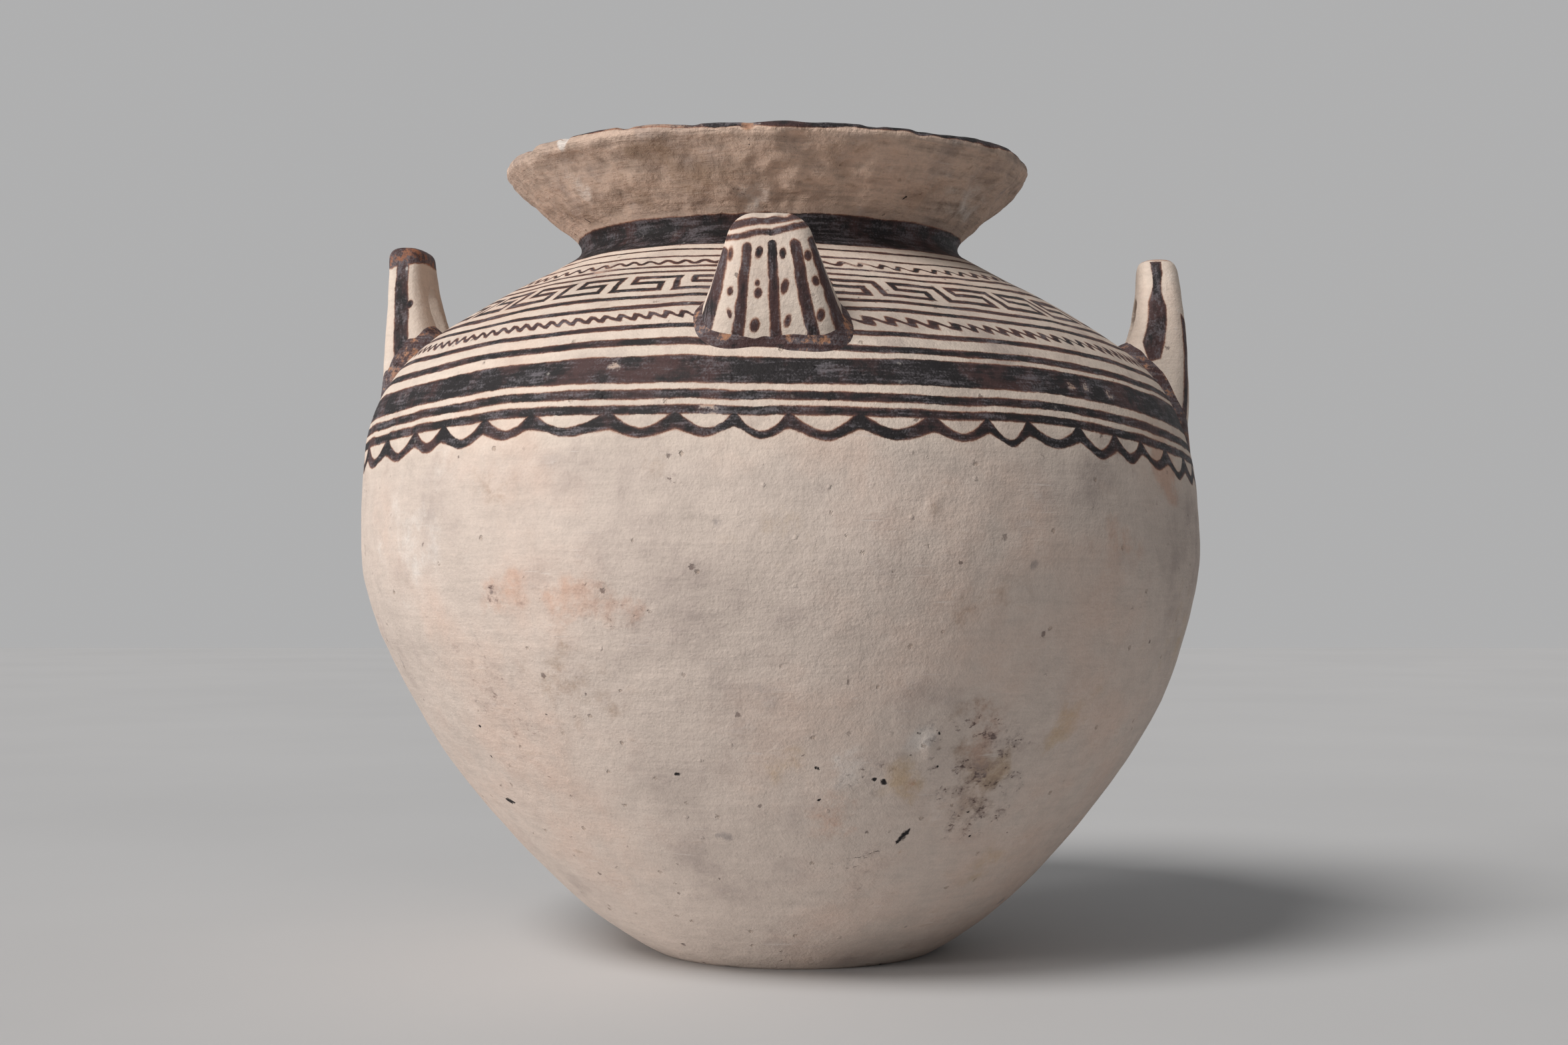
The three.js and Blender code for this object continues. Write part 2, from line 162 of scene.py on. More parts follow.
# Dots of the tabs: across, share down, half width, half height in mm and tilt.
TAB_DOTS = (
    (-0.82, 0.325, 0.9, 2.0, -0.1), (-0.71, 0.57, 0.9, 1.3, 0.1), (-0.66, 0.74, 0.8, 1.9, -0.45),
    (-0.23, 0.307, 1.4, 2.0, 0.4), (-0.25, 0.515, 1.0, 1.1, 0.0), (-0.23, 0.581, 1.6, 2.0, 0.3),
    (-0.26, 0.832, 1.8, 2.9, 0.1), (0.26, 0.315, 1.2, 1.8, 0.3), (0.235, 0.537, 1.3, 2.4, 0.45),
    (0.225, 0.80, 1.2, 2.6, 0.35), (0.77, 0.33, 1.4, 1.7, 0.5), (0.80, 0.507, 1.4, 1.6, 0.0),
    (0.74, 0.756, 1.4, 2.3, 0.5),
)

# Faces of a tab and of a handle for their painter, in mm: half the width at the top, how much
# wider it grows downwards, half the depth of a handle, and the height.
TAB_HALF, TAB_WIDENS, TAB_TALL = 13.75, 14.75, 47.0
HANDLE_HALF, HANDLE_WIDENS, HANDLE_DEPTH, HANDLE_TALL = 17.0, 13.0, 9.0, 58.0
# Share down to which a handle's cap is worn, and chips in the tops of the tabs: place across,
# place in depth, radius in metres and depth in mm.
WORN_CAPS = {"left_handle": 0.16, "right_handle": 0.02}
CHIPS = {"front_tab": ((-0.15, 0.9, 0.007, 1.3), (0.45, 0.8, 0.006, 1.4)),
         "rear_tab": ((0.5, 0.7, 0.006, 1.0),)}
# How flat a chip is, and how ragged its edge.
CHIP_FLAT, CHIP_RAGGED = 1.6, 1.6 * MM
# Half the depth of a tab or handle at its painted outer face, half the width at the ends of a
# handle, in mm, and the share of the width at which those ends begin.
FACE_DEPTH, END_WIDTH, END_EDGE = 12.0, 18.0, 0.72

# Luting coils: how far the upper edge is pressed into the lug and the lower one into the wall,
# how far in and down the hidden edge lies, and the height of the lumps.
COIL_PRESS, COIL_BURIED, COIL_HIDDEN, COIL_DOWN = 0.9 * MM, 1.6 * MM, 2 * MM, 4 * MM
COIL_LUMPS = 0.25 * MM
# How far a coil swells out of its corner, and how much wider a tab's coil is at its sides. Then
# how much the coils stray: share, size of the lumps and start of the noise.
COIL_BULGE, COIL_SIDES = 1.3, 0.9
COIL_STRAYS = {"width": (0.5, 0.45, 0), "height": (0.2, 0.5, 3), "bulge": (0.35, 0.3, 8)}

# How a brush mark is drawn out: shares of its width along X, Y and Z.
LEVEL_STROKES, UPRIGHT_STROKES = (0.10, 0.10, 1.0), (0.8, 0.8, 0.10)
# What every coat is made of, and how much a coat shines.
COAT = {"Colour": "colour", "Height": "value", "Roughness": "value"}
SHINE = 0.28

# The studio: half the floor, its second tone, the lamps, what they aim at and the seen room.
FLOOR_HALF, FLOOR_TONE, FLOOR_ROUGHNESS = 4.0, (0.64, 0.645, 0.655, 1), 0.7
LAMP_COLOUR, AIM = (1.0, 0.97, 0.94), (0, 0, 0.18)
KEY_PLACE, FILL_PLACE = (-0.95, -1.0, 1.75), (-1.75, -0.85, 0.42)
SEEN_ROOM = (0.43, 0.43, 0.432, 1)
# The camera: lens and sensor in mm, upward shift as a share of the sensor, metres to the right.
LENS, SENSOR, SHIFT, CAMERA_RIGHT = 50.49, 36.0, 0.0323, 0.0015

# Lumps of the wall's clay: size in metres, start of the noise, and height in mm on the whole
# wall and in addition on the funnel. All of it lies a little inside the outline.
LUMPS = {
    "broad": (0.075, 7.1, 1.25, 0), "middle": (0.026, 1.7, 0.5, 2.2),
    "tooling": ((0.09, 0.09, 0.008), 3.3, 0.16, 0), "small": (0.011, 9.2, 0.11, 1.6),
    "fine": (0.0055, 4.4, 0.04, 0.5),
}
LUMPS_INSIDE, INNER_LUMPS, BASE_FADE = 0.6, 0.6, 25 * MM
# Where the funnel's lumps begin and where they calm down towards the lip, and how much.
LUMPY_FROM, LUMPY_TO, LUMPY_CALM = (415 * MM, 430 * MM), (452 * MM, 466 * MM), 0.75
# The same for handles and tabs: size and height.
LUG_LUMPS, LUG_INSIDE, LUG_SEED = ((0.03, 0.45), (0.011, 0.28), (0.005, 0.1)), 0.2, 4.0
# Wet fingers wipe the edges of handles and tabs so strongly and so often.
WIPE_STRENGTH, WIPES = 0.5, 14
# Dents and chips of the wall: angle, distance up, radius and depth in mm.
DENTS = (
    (-45, 452, 8, 1.1), (-2.5, 445, 6, 1.2), (3, 441, 7, 1.1), (-24, 447, 9, 0.9), (14, 449, 10, 0.9),
    (60, 440, 12, 0.9), (-46.5, 467, 5, 1.2), (-3.6, 465.5, 4, 2.0), (33, 465, 5, 0.9), (150, 464, 6, 1.4),
    (5, 457, 8, 1.6), (-30, 468, 5, 0.8), (-15, 467, 4, 0.8), (22, 468, 6, 0.7), (-60, 466, 7, 0.9),
    (46, 437, 9, 0.8), (-60, 436, 10, 0.8), (-78, 466, 6, 1.0), (80, 467, 7, 1.0), (-120, 468, 6, 1.2),
    (-33, 196, 12, 0.7), (-20, 208, 9, 0.6), (30, 118, 11, 0.7), (18, 141, 8, 0.5), (110, 180, 14, 0.9),
)
# Rough places of the wall, where slip has flaked or clay was pressed on: angle, distance up, radius.
ROUGH_PLACES = (
    (-4, 425, 14), (4, 427, 13), (-9, 430, 9), (18, 241, 7), (33, 122, 11), (20, 146, 9), (-140, 300, 15),
    (-40, 428, 9), (-22, 420, 8), (41, 433, 9),
)
# Soft changes of direction in the wall: angle of the middle, distance up, height in mm.
KNEES, KNEE_REACH = ((-90, 190, 1.5), (90, 158, 1.2)), 22
# Groove under the lip: angle of the middle, half its length in degrees, distance up, depth and
# half its width in mm.
LIP_GROOVE = (44, 16, 458.5, 0.8, 1.3)

# Ragged edge of a stain: share of its radius, size of the lumps in metres, start of the noise.
STAIN_EDGE = ((0.5, 0.024, 5.5), (0.45, 0.009, 2.2))
# Stains and worn paint, by kind, with one wide violet patch of painted shade: angle, distance up, radius in
# mm and strength.
STAINS = {
    "pink": (
        (-37, 207, 11, 0.4), (-33, 206, 13, 0.5), (-29, 206, 12, 0.5), (-25.5, 207, 14, 0.55),
        (-21.5, 205, 13, 0.55), (-18, 204, 11, 0.5), (-38, 128, 34, 0.16), (28, 148, 16, 0.5),
        (8, 112, 20, 0.45), (60, 262, 22, 0.75), (44, 232, 26, 0.35), (-160, 220, 35, 0.5),
        (-100, 250, 30, 0.4),
    ),
    "violet": (
        # The wide violet patch at -44 degrees, 160 mm up, is painted shade on the lower left, not a deposit.
        (-17, 210, 10, 0.6), (-21, 203, 16, 0.35), (-44, 160, 30, 0.45), (11, 131, 13, 0.9),
        (20, 149, 10, 0.7), (27, 127, 19, 0.8), (31.5, 108, 18, 1.1), (32, 146, 17, 1.1),
        (22, 133, 11, 0.7), (36, 124, 12, 0.8), (26, 150, 12, 0.7), (14, 82, 16, 0.4),
        (-120, 150, 40, 0.4), (140, 90, 25, 0.6), (38, 433, 10, 0.7), (-8, 432, 14, 0.4),
        (43.5, 293.6, 4, 0.6), (-36, 238, 4.4, 1.9), (-32.5, 205, 4.2, 1.9), (-37.5, 208, 3.8, 1.8),
        (-47, 186, 4.0, 1.8), (5, 250, 4.4, 1.6), (-12, 253, 3.8, 1.6),
    ),
    "pale": (
        (-52, 230, 40, 0.35), (9, 134, 15, 0.6), (18.5, 147, 10, 0.55), (24, 112, 14, 0.4),
        (-10, 330, 16, 0.3), (-4, 426, 12, 0.4), (-52, 440, 20, 0.4), (62, 438, 22, 0.4),
        (-46.5, 467, 5, 1.8),
    ),
    "earth": (
        (-28, 172, 26, 0.4), (26, 144, 20, 0.45), (31, 113, 18, 0.5), (30, 128, 26, 0.4),
        (24, 208, 34, 0.25), (18, 241, 7, 0.6), (-36, 252, 16, 0.3), (-14, 262, 12, 0.4),
        (120, 200, 45, 0.35), (-15, 440, 22, 0.6), (15, 452, 14, 0.6), (-36, 428, 12, 0.6),
        (-60, 425, 14, 0.6), (-24, 452, 14, 0.6), (42, 294.3, 5, 0.7),
    ),
    "ochre": (
        (17, 128, 15, 0.7), (1, 137, 14, 0.6), (32, 131, 14, 0.6), (44, 150, 20, 0.5),
        (40, 82, 18, 0.45), (70, 190, 40, 0.25), (0, 232, 30, 0.25), (170, 120, 45, 0.4),
    ),
    "clay": (
        (19.3, 91, 3.2, 0.7), (18.3, 127.5, 4, 0.55), (40, 436, 18, 0.3), (-3.6, 465.5, 4.5, 1.2),
    ),
    "worn": (
        (41.5, 294.6, 5, 1), (43.6, 294, 5, 1), (48, 291, 4, 1), (-70, 468, 45, 1), (-46.5, 468, 7, 1),
        (-25, 468, 34, 1), (8, 467, 8, 1), (-8, 279, 8, 1), (20, 380, 16, 1), (-38, 378, 10, 1),
        (-20, 300, 5, 1), (100, 296, 12, 1), (-150, 296, 14, 1), (170, 350, 25, 1),
    ),
}
# Dark pits: angle, distance up and radius in mm.
PITS = (
    (4, 135, 1.1), (14, 128, 1.5), (12.5, 129.4, 1.1), (17.5, 140.6, 1.0), (18, 150.4, 1.2), (21, 150.4, 0.9),
    (22, 134.3, 0.9), (4.5, 119.6, 0.9), (32.5, 96.5, 1.0), (30, 110.5, 1.0), (-50, 149.7, 1.1),
    (-51.5, 134.3, 0.9), (-34, 158.1, 0.7), (150, 140, 1.2), (-110, 230, 1.2),
)
# How finely and how far pits and cracks are shaken out of shape.
FLAW_SCALE, FLAW_SHIFT = 450.0, (0.0026,) * 3
# Cracks: angle and distance up of both ends, and width in mm.
CRACKS = (
    (18.2, 95.4, 19.8, 103.2, 3.1), (11, 87.4, 13.5, 89.5, 0.35), (13.5, 89.5, 16, 92.3, 0.4),
    (-56, 111.1, -53.4, 110.0, 2.6), (-17, 131.1, -15.2, 132, 2.0), (-36.8, 432, -36.2, 437.5, 0.9),
    (-12.6, 442, -11.2, 450, 0.9), (-68.5, 421, -67.6, 432, 0.8), (-60.4, 420, -59.4, 429, 0.9),
    (36.3, 429, 36.7, 436.5, 1.1), (43, 431, 46, 430, 0.35), (-3.2, 452, -4, 461, 0.9),
    (100, 300, 108, 312, 0.4), (-150, 130, -143, 142, 0.5),
)


def length(name, description, default):
    return FloatProperty(name=name, description=description, default=default, unit="LENGTH", precision=4)


def angle(name, description, degrees):
    radians = math.radians(degrees)
    return FloatProperty(name=name, description=description, default=radians, subtype="ANGLE")


def colour(name, description, default):
    settings = {"subtype": "COLOR", "size": 4, "min": 0, "max": 1}
    return FloatVectorProperty(name=name, description=description, default=(*default, 1), **settings)


class KraterShape(bpy.types.PropertyGroup):
    """Sizes of the hand-built pot, outside."""

    height: length("Height", "From the table to the top of the lip", 0.3555)
    base_diameter: length("Base", "Diameter of the flat base", 0.128)
    belly_diameter: length("Belly", "Greatest diameter", 0.380)
    belly_height: length("Belly height", "Height of the greatest diameter", 0.184)
    neck_diameter: length("Neck", "Diameter where shoulder and funnel would cross", 0.164)
    mouth_diameter: length("Mouth", "Diameter of the lip", 0.239)
    funnel_depth: length("Funnel", "Depth of the funnel from lip to neck", 0.039)
    foot_spring: length("Foot spring", "How far the wall keeps its slope above the base", 0.068)
    foot_slope: angle("Foot slope", "Slope of the wall at the base", 26)
    swell_below: length("Swell below", "Pull of the belly on the wall below it", 0.056)
    swell_above: length("Swell above", "Pull of the belly on the wall above it", 0.080)
    shoulder_length: length("Shoulder", "How far the shoulder keeps its slope", 0.090)
    shoulder_slope: angle("Shoulder slope", "Slope of the shoulder at the neck", 30)
    neck_softness: length("Neck softness", "Rounding of the neck's corner", 0.011)
    lean: angle("Lean", "How far the pot leans to its left", 2)
    wall: length("Wall", "Thickness of the wall", 0.009)
    floor: length("Floor", "Thickness of the floor", 0.011)
    scarf: length("Scarf", "Slant of the joints between the rings of wall", 0.005)


class KraterLugs(bpy.types.PropertyGroup):
    """Sizes of the handles, the tabs and their luting coils."""

    left_inset: length("Left inset", "Left handle's distance in from the belly", 0.023)
    left_rise: length("Left rise", "Left handle's height above the shoulder", 0.0565)
    left_flare: length("Left flare", "Flare of the left handle's outer face at the root", 0.005)
    left_bulge: length("Left bulge", "Swelling of the left handle's outer face", 0.0005)
    right_inset: length("Right inset", "Right handle's distance in from the belly", 0.0155)
    right_rise: length("Right rise", "Right handle's height above the shoulder", 0.056)
    right_flare: length("Right flare", "Flare of the right handle's outer face at the root", 0.002)
    right_bulge: length("Right bulge", "Swelling of the right handle's outer face", 0.0035)
    tab_inset: length("Tab inset", "Tabs' distance in from the belly", 0.027)
    tab_rise: length("Tab rise", "Tabs' height above the shoulder", 0.042)
    tab_flare: length("Tab flare", "Flare of a tab's outer face at the root", 0.0002)
    tab_bulge: length("Tab bulge", "Swelling of a tab's outer face", 0.004)
    thickness: length("Thickness", "Thickness at the top", 0.0175)
    inner_flare: length("Inner flare", "Flare of the inner face at the root", 0.008)
    handle_crown: length("Handle crown", "Rounding of a handle's top edge", 0.004)
    tab_crown: length("Tab crown", "Rounding of a tab's top edge", 0.0075)
    handle_top: length("Handle top", "Width of a handle at its top", 0.034)
    handle_root: length("Handle root", "Width of a handle at its root", 0.060)
    tab_top: length("Tab top", "Width of a tab at its top", 0.0275)
    tab_root: length("Tab root", "Width of a tab at its root", 0.057)
    handle_turn: angle("Handle turn", "How far the pair of handles is set off the tabs' cross", -4.5)
    opening_width: length("Opening", "Width of a handle's finger opening", 0.026)
    opening_bar: length("Bar", "Clay left above the finger opening", 0.018)
    tab_coil_height: length("Tab coil height", "How far a tab's coil is smeared up the root", 0.0056)
    tab_coil_width: length("Tab coil width", "How far a tab's coil is smeared over the shoulder", 0.0016)
    left_coil_height: length("Left coil height", "How far the left handle's coils are smeared up", 0.0135)
    right_coil_height: length("Right coil height", "How far the right handle's coils are smeared up", 0.0068)
    handle_coil_width: length("Handle coil width", "How far a handle's coil is smeared out", 0.0028)


class KraterColours(bpy.types.PropertyGroup):
    """Colours of the clay, its coats and its stains."""

    cream: colour("Cream slip", "Slip of the shoulder, handles and tabs", (0.755, 0.64, 0.55))
    beige: colour("Beige slip", "Thinner slip of the belly and foot", (0.65, 0.55, 0.485))
    tan: colour("Tan slip", "Brushed slip of the funnel", (0.60, 0.445, 0.355))
    clay: colour("Bare clay", "Fired clay inside and in chips", (0.43, 0.235, 0.14))
    black: colour("Black paint", "Thick matt paint", (0.017, 0.0145, 0.0155))
    brown: colour("Brown paint", "Thin matt paint", (0.070, 0.037, 0.036))
    rust: colour("Rust", "Iron stain at the edges of the paint", (0.35, 0.15, 0.085))
    bloom: colour("Bloom", "Grey bloom on the paint", (0.17, 0.155, 0.17))
    earth: colour("Earth stain", "Earth rubbed into the slip", (0.35, 0.24, 0.17))
    # The violet colour also paints a wide patch of painted shade on the lower left of the belly.
    violet: colour("Violet stain", "Grey-violet deposit on the slip", (0.27, 0.215, 0.20))
    ochre: colour("Ochre stain", "Yellowish patches of the slip", (0.55, 0.41, 0.27))
    pink: colour("Pink patches", "Slip rubbed down to pink clay", (0.60, 0.40, 0.31))
    pale: colour("Pale patches", "Chalky deposit", (0.79, 0.73, 0.68))
    floor: colour("Floor", "Studio floor", (0.60, 0.605, 0.615))


class KraterStage(bpy.types.PropertyGroup):
    """Camera and lamps."""

    distance: length("Camera distance", "From the pot's axis to the camera", 1.010)
    eye: length("Eye height", "Height of the level camera", 0.1705)
    key: FloatProperty(name="Key light", description="Strength of the soft main light", default=2.0)
    key_softness: angle("Key softness", "How wide the main light looks from the pot", 24)
    fill: FloatProperty(name="Fill light", description="Strength of the low light from the left", default=1.5)
    fill_softness: angle("Fill softness", "How wide the low light looks from the pot", 12)
    room: FloatProperty(name="Room", description="Strength of the room's light", default=0.15)


def heading(distance, slope):
    """Step of a length up a slope, as radius and height."""
    return distance * np.array((math.cos(slope), math.sin(slope)))


def curve_through(points, count=600):
    """Points on the Bezier curve with these control points."""
    share = np.linspace(0, 1, count)[:, None]
    layers = [np.broadcast_to(point, (count, 2)) for point in points]
    while len(layers) > 1:
        layers = [(1 - share) * a + share * b for a, b in zip(layers, layers[1:])]
    return layers[0]


class Outline:
    """The pot's outer line from the base's edge to the lip, by the distance along it."""

    def __init__(self, shape):
        self.shape = shape
        self.lip_radius = shape.wall / 2
        foot = np.array((shape.base_diameter / 2, 0))
        belly = np.array((shape.belly_diameter / 2, shape.belly_height))
        self.neck_height = shape.height - shape.funnel_depth
        neck = np.array((shape.neck_diameter / 2, self.neck_height))
        self.lip_centre = np.array((shape.mouth_diameter / 2, shape.height)) - self.lip_radius
        to_lip = self.lip_centre - neck
        reach = np.hypot(*to_lip)
        self.funnel_slope = math.atan2(to_lip[1], to_lip[0]) - math.asin(self.lip_radius / reach)
        funnel = math.sqrt(reach**2 - self.lip_radius**2)
        neck_start = neck + heading(shape.neck_softness, -shape.shoulder_slope)
        neck_end = neck + heading(shape.neck_softness, self.funnel_slope)
        shoulder = neck_start + heading(shape.shoulder_length, -shape.shoulder_slope)
        spring = foot + heading(shape.foot_spring, shape.foot_slope)
        below, above = np.array((0, shape.swell_below)), np.array((0, shape.swell_above))
        parts = [
            curve_through((foot, spring, belly - below, belly)),
            curve_through((belly, belly + above, shoulder, neck_start))[1:],
            curve_through((neck_start, neck, neck_end))[1:],
            curve_through((neck_end, neck + heading(funnel, self.funnel_slope)))[1:],
        ]
        self.line = np.vstack(parts)
        steps = np.hypot(*np.diff(self.line, axis=0).T)
        self.along = np.concatenate(([0], np.cumsum(steps)))
        self.end = self.along[-1]
        slope = np.gradient(self.line, self.along, axis=0)
        self.normal = np.stack((slope[:, 1], -slope[:, 0]), axis=1)

    def at(self, along, depth=0.0):
        """Radius and height, and the direction out of the wall, of points on a face of the wall."""
        out = np.stack([np.interp(along, self.along, self.normal[:, i]) for i in (0, 1)], axis=-1)
        place = np.stack([np.interp(along, self.along, self.line[:, i]) for i in (0, 1)], axis=-1)
        return place - depth * out, out

    def spot(self, along):
        """Radius and height of a place on the outside, by its distance up the wall and over the lip."""
        if along <= self.end:
            return self.at(along)[0]
        way = self.funnel_slope - math.pi / 2 + (along - self.end) / self.lip_radius
        return self.lip_centre + heading(self.lip_radius, way)

    def up_to(self, height, depth=0.0):
        """Distance along the outline at which a face of the wall reaches a height."""
        heights = self.line[:, 1] - depth * self.normal[:, 1]
        return float(np.interp(height, heights, self.along))

    def shoulder_height(self, radius):
        """Height of the shoulder's outside at a distance from the axis."""
        top = np.argmin(self.line[:, 0] + (self.line[:, 1] < self.shape.belly_height))
        belly = np.argmax(self.line[:, 0])
        shoulder = self.line[belly : top + 1][::-1]
        return np.interp(radius, shoulder[:, 0], shoulder[:, 1])


def lean_over(points, shape):
    """Shears points, so that the pot leans and its level circles stay level."""
    points = np.array(points, float)
    points[..., 0] += math.tan(shape.lean) * (shape.belly_height - points[..., 2])
    return points


def lumps(points, size, seed=0.0):
    """Smooth noise from about -1 to 1 at points in metres, with lumps of a size or sizes."""
    scaled = np.asarray(points) / np.asarray(size) + seed
    flat = scaled.reshape(-1, 3)
    return np.array([noise.noise(Vector(p)) for p in flat]).reshape(scaled.shape[:-1])


def soft_step(value, low, high):
    """0 below low, 1 above high and a soft change between them."""
    share = np.clip((value - low) / (high - low), 0, 1)
    return share * share * (3 - 2 * share)


def sway(turn, along):
    """How far a painted line strays up the wall, in mm, by angle in degrees and distance in mm."""
    angles = np.array(SWAY_ANGLES, float)
    angles = np.concatenate((angles - 360, angles, angles + 360))
    degrees = np.arange(-181, 182)
    kernel = np.hanning(2 * SWAY_BLEND + 1)
    rows = []
    for values in SWAY_ROWS.values():
        rough = np.interp(degrees, angles, np.tile(values, 3))
        padded = np.concatenate((rough[-SWAY_BLEND - 2 : -2], rough, rough[1 : SWAY_BLEND + 1]))
        smooth = np.convolve(padded, kernel / kernel.sum(), mode="same")[SWAY_BLEND:-SWAY_BLEND]
        rows.append(np.interp(turn, degrees, smooth))
    places = np.interp(along, list(SWAY_ROWS), np.arange(len(rows)))
    lows = np.minimum(places, len(rows) - 2).astype(int)
    return np.array([rows[low] + (place - low) * (rows[low + 1] - rows[low])
                     for low, place in zip(lows, places)])


def scallop_phase(turn):
    """Number of the scallop at an angle, with its share in the fraction, and how deep it hangs."""
    first, last = SCALLOP_EDGES[0], SCALLOP_EDGES[-1]
    count = round((first + 360 - last) / EVEN_SCALLOP)
    chance = np.random.default_rng(SCALLOP_CHANCE)
    even = np.linspace(last, first + 360, count + 1)[1:-1]
    even += chance.uniform(-SCALLOP_STRAY, SCALLOP_STRAY, count - 1)
    one_round = np.concatenate((SCALLOP_EDGES, even))
    widths = np.diff(one_round, append=first + 360)
    drop = SCALLOP_DROP - SCALLOP_DEEPER * (widths - EVEN_SCALLOP)
    drop += chance.uniform(-SCALLOP_DEPTH_STRAY, SCALLOP_DEPTH_STRAY, len(widths))
    edges = np.concatenate((one_round - 360, one_round, one_round + 360))
    middles = edges + np.tile(widths, 3) / 2
    return np.interp(turn, edges, np.arange(len(edges))), np.interp(turn, middles, np.tile(drop, 3))


def add_piece(node, mesh, slot, *materials):
    """Puts a piece in the scene: it rides on the pot's body and stands for a CAD node."""
    for material in materials:
        mesh.materials.append(material)
    piece = bpy.data.objects.new(node + "_fired", mesh)
    bpy.context.scene.collection.objects.link(piece)
    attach(piece, "root")
    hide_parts(node)


def ring_faces(rows, columns, closed=False):
    """Faces between neighbouring rings of points, and between the last and first if closed."""
    faces = []
    for row in range(rows if closed else rows - 1):
        a, b = row * columns, (row + 1) % rows * columns
        for i in range(columns):
            j = (i + 1) % columns
            faces.append((a + i, b + i, b + j, a + j))
    return faces


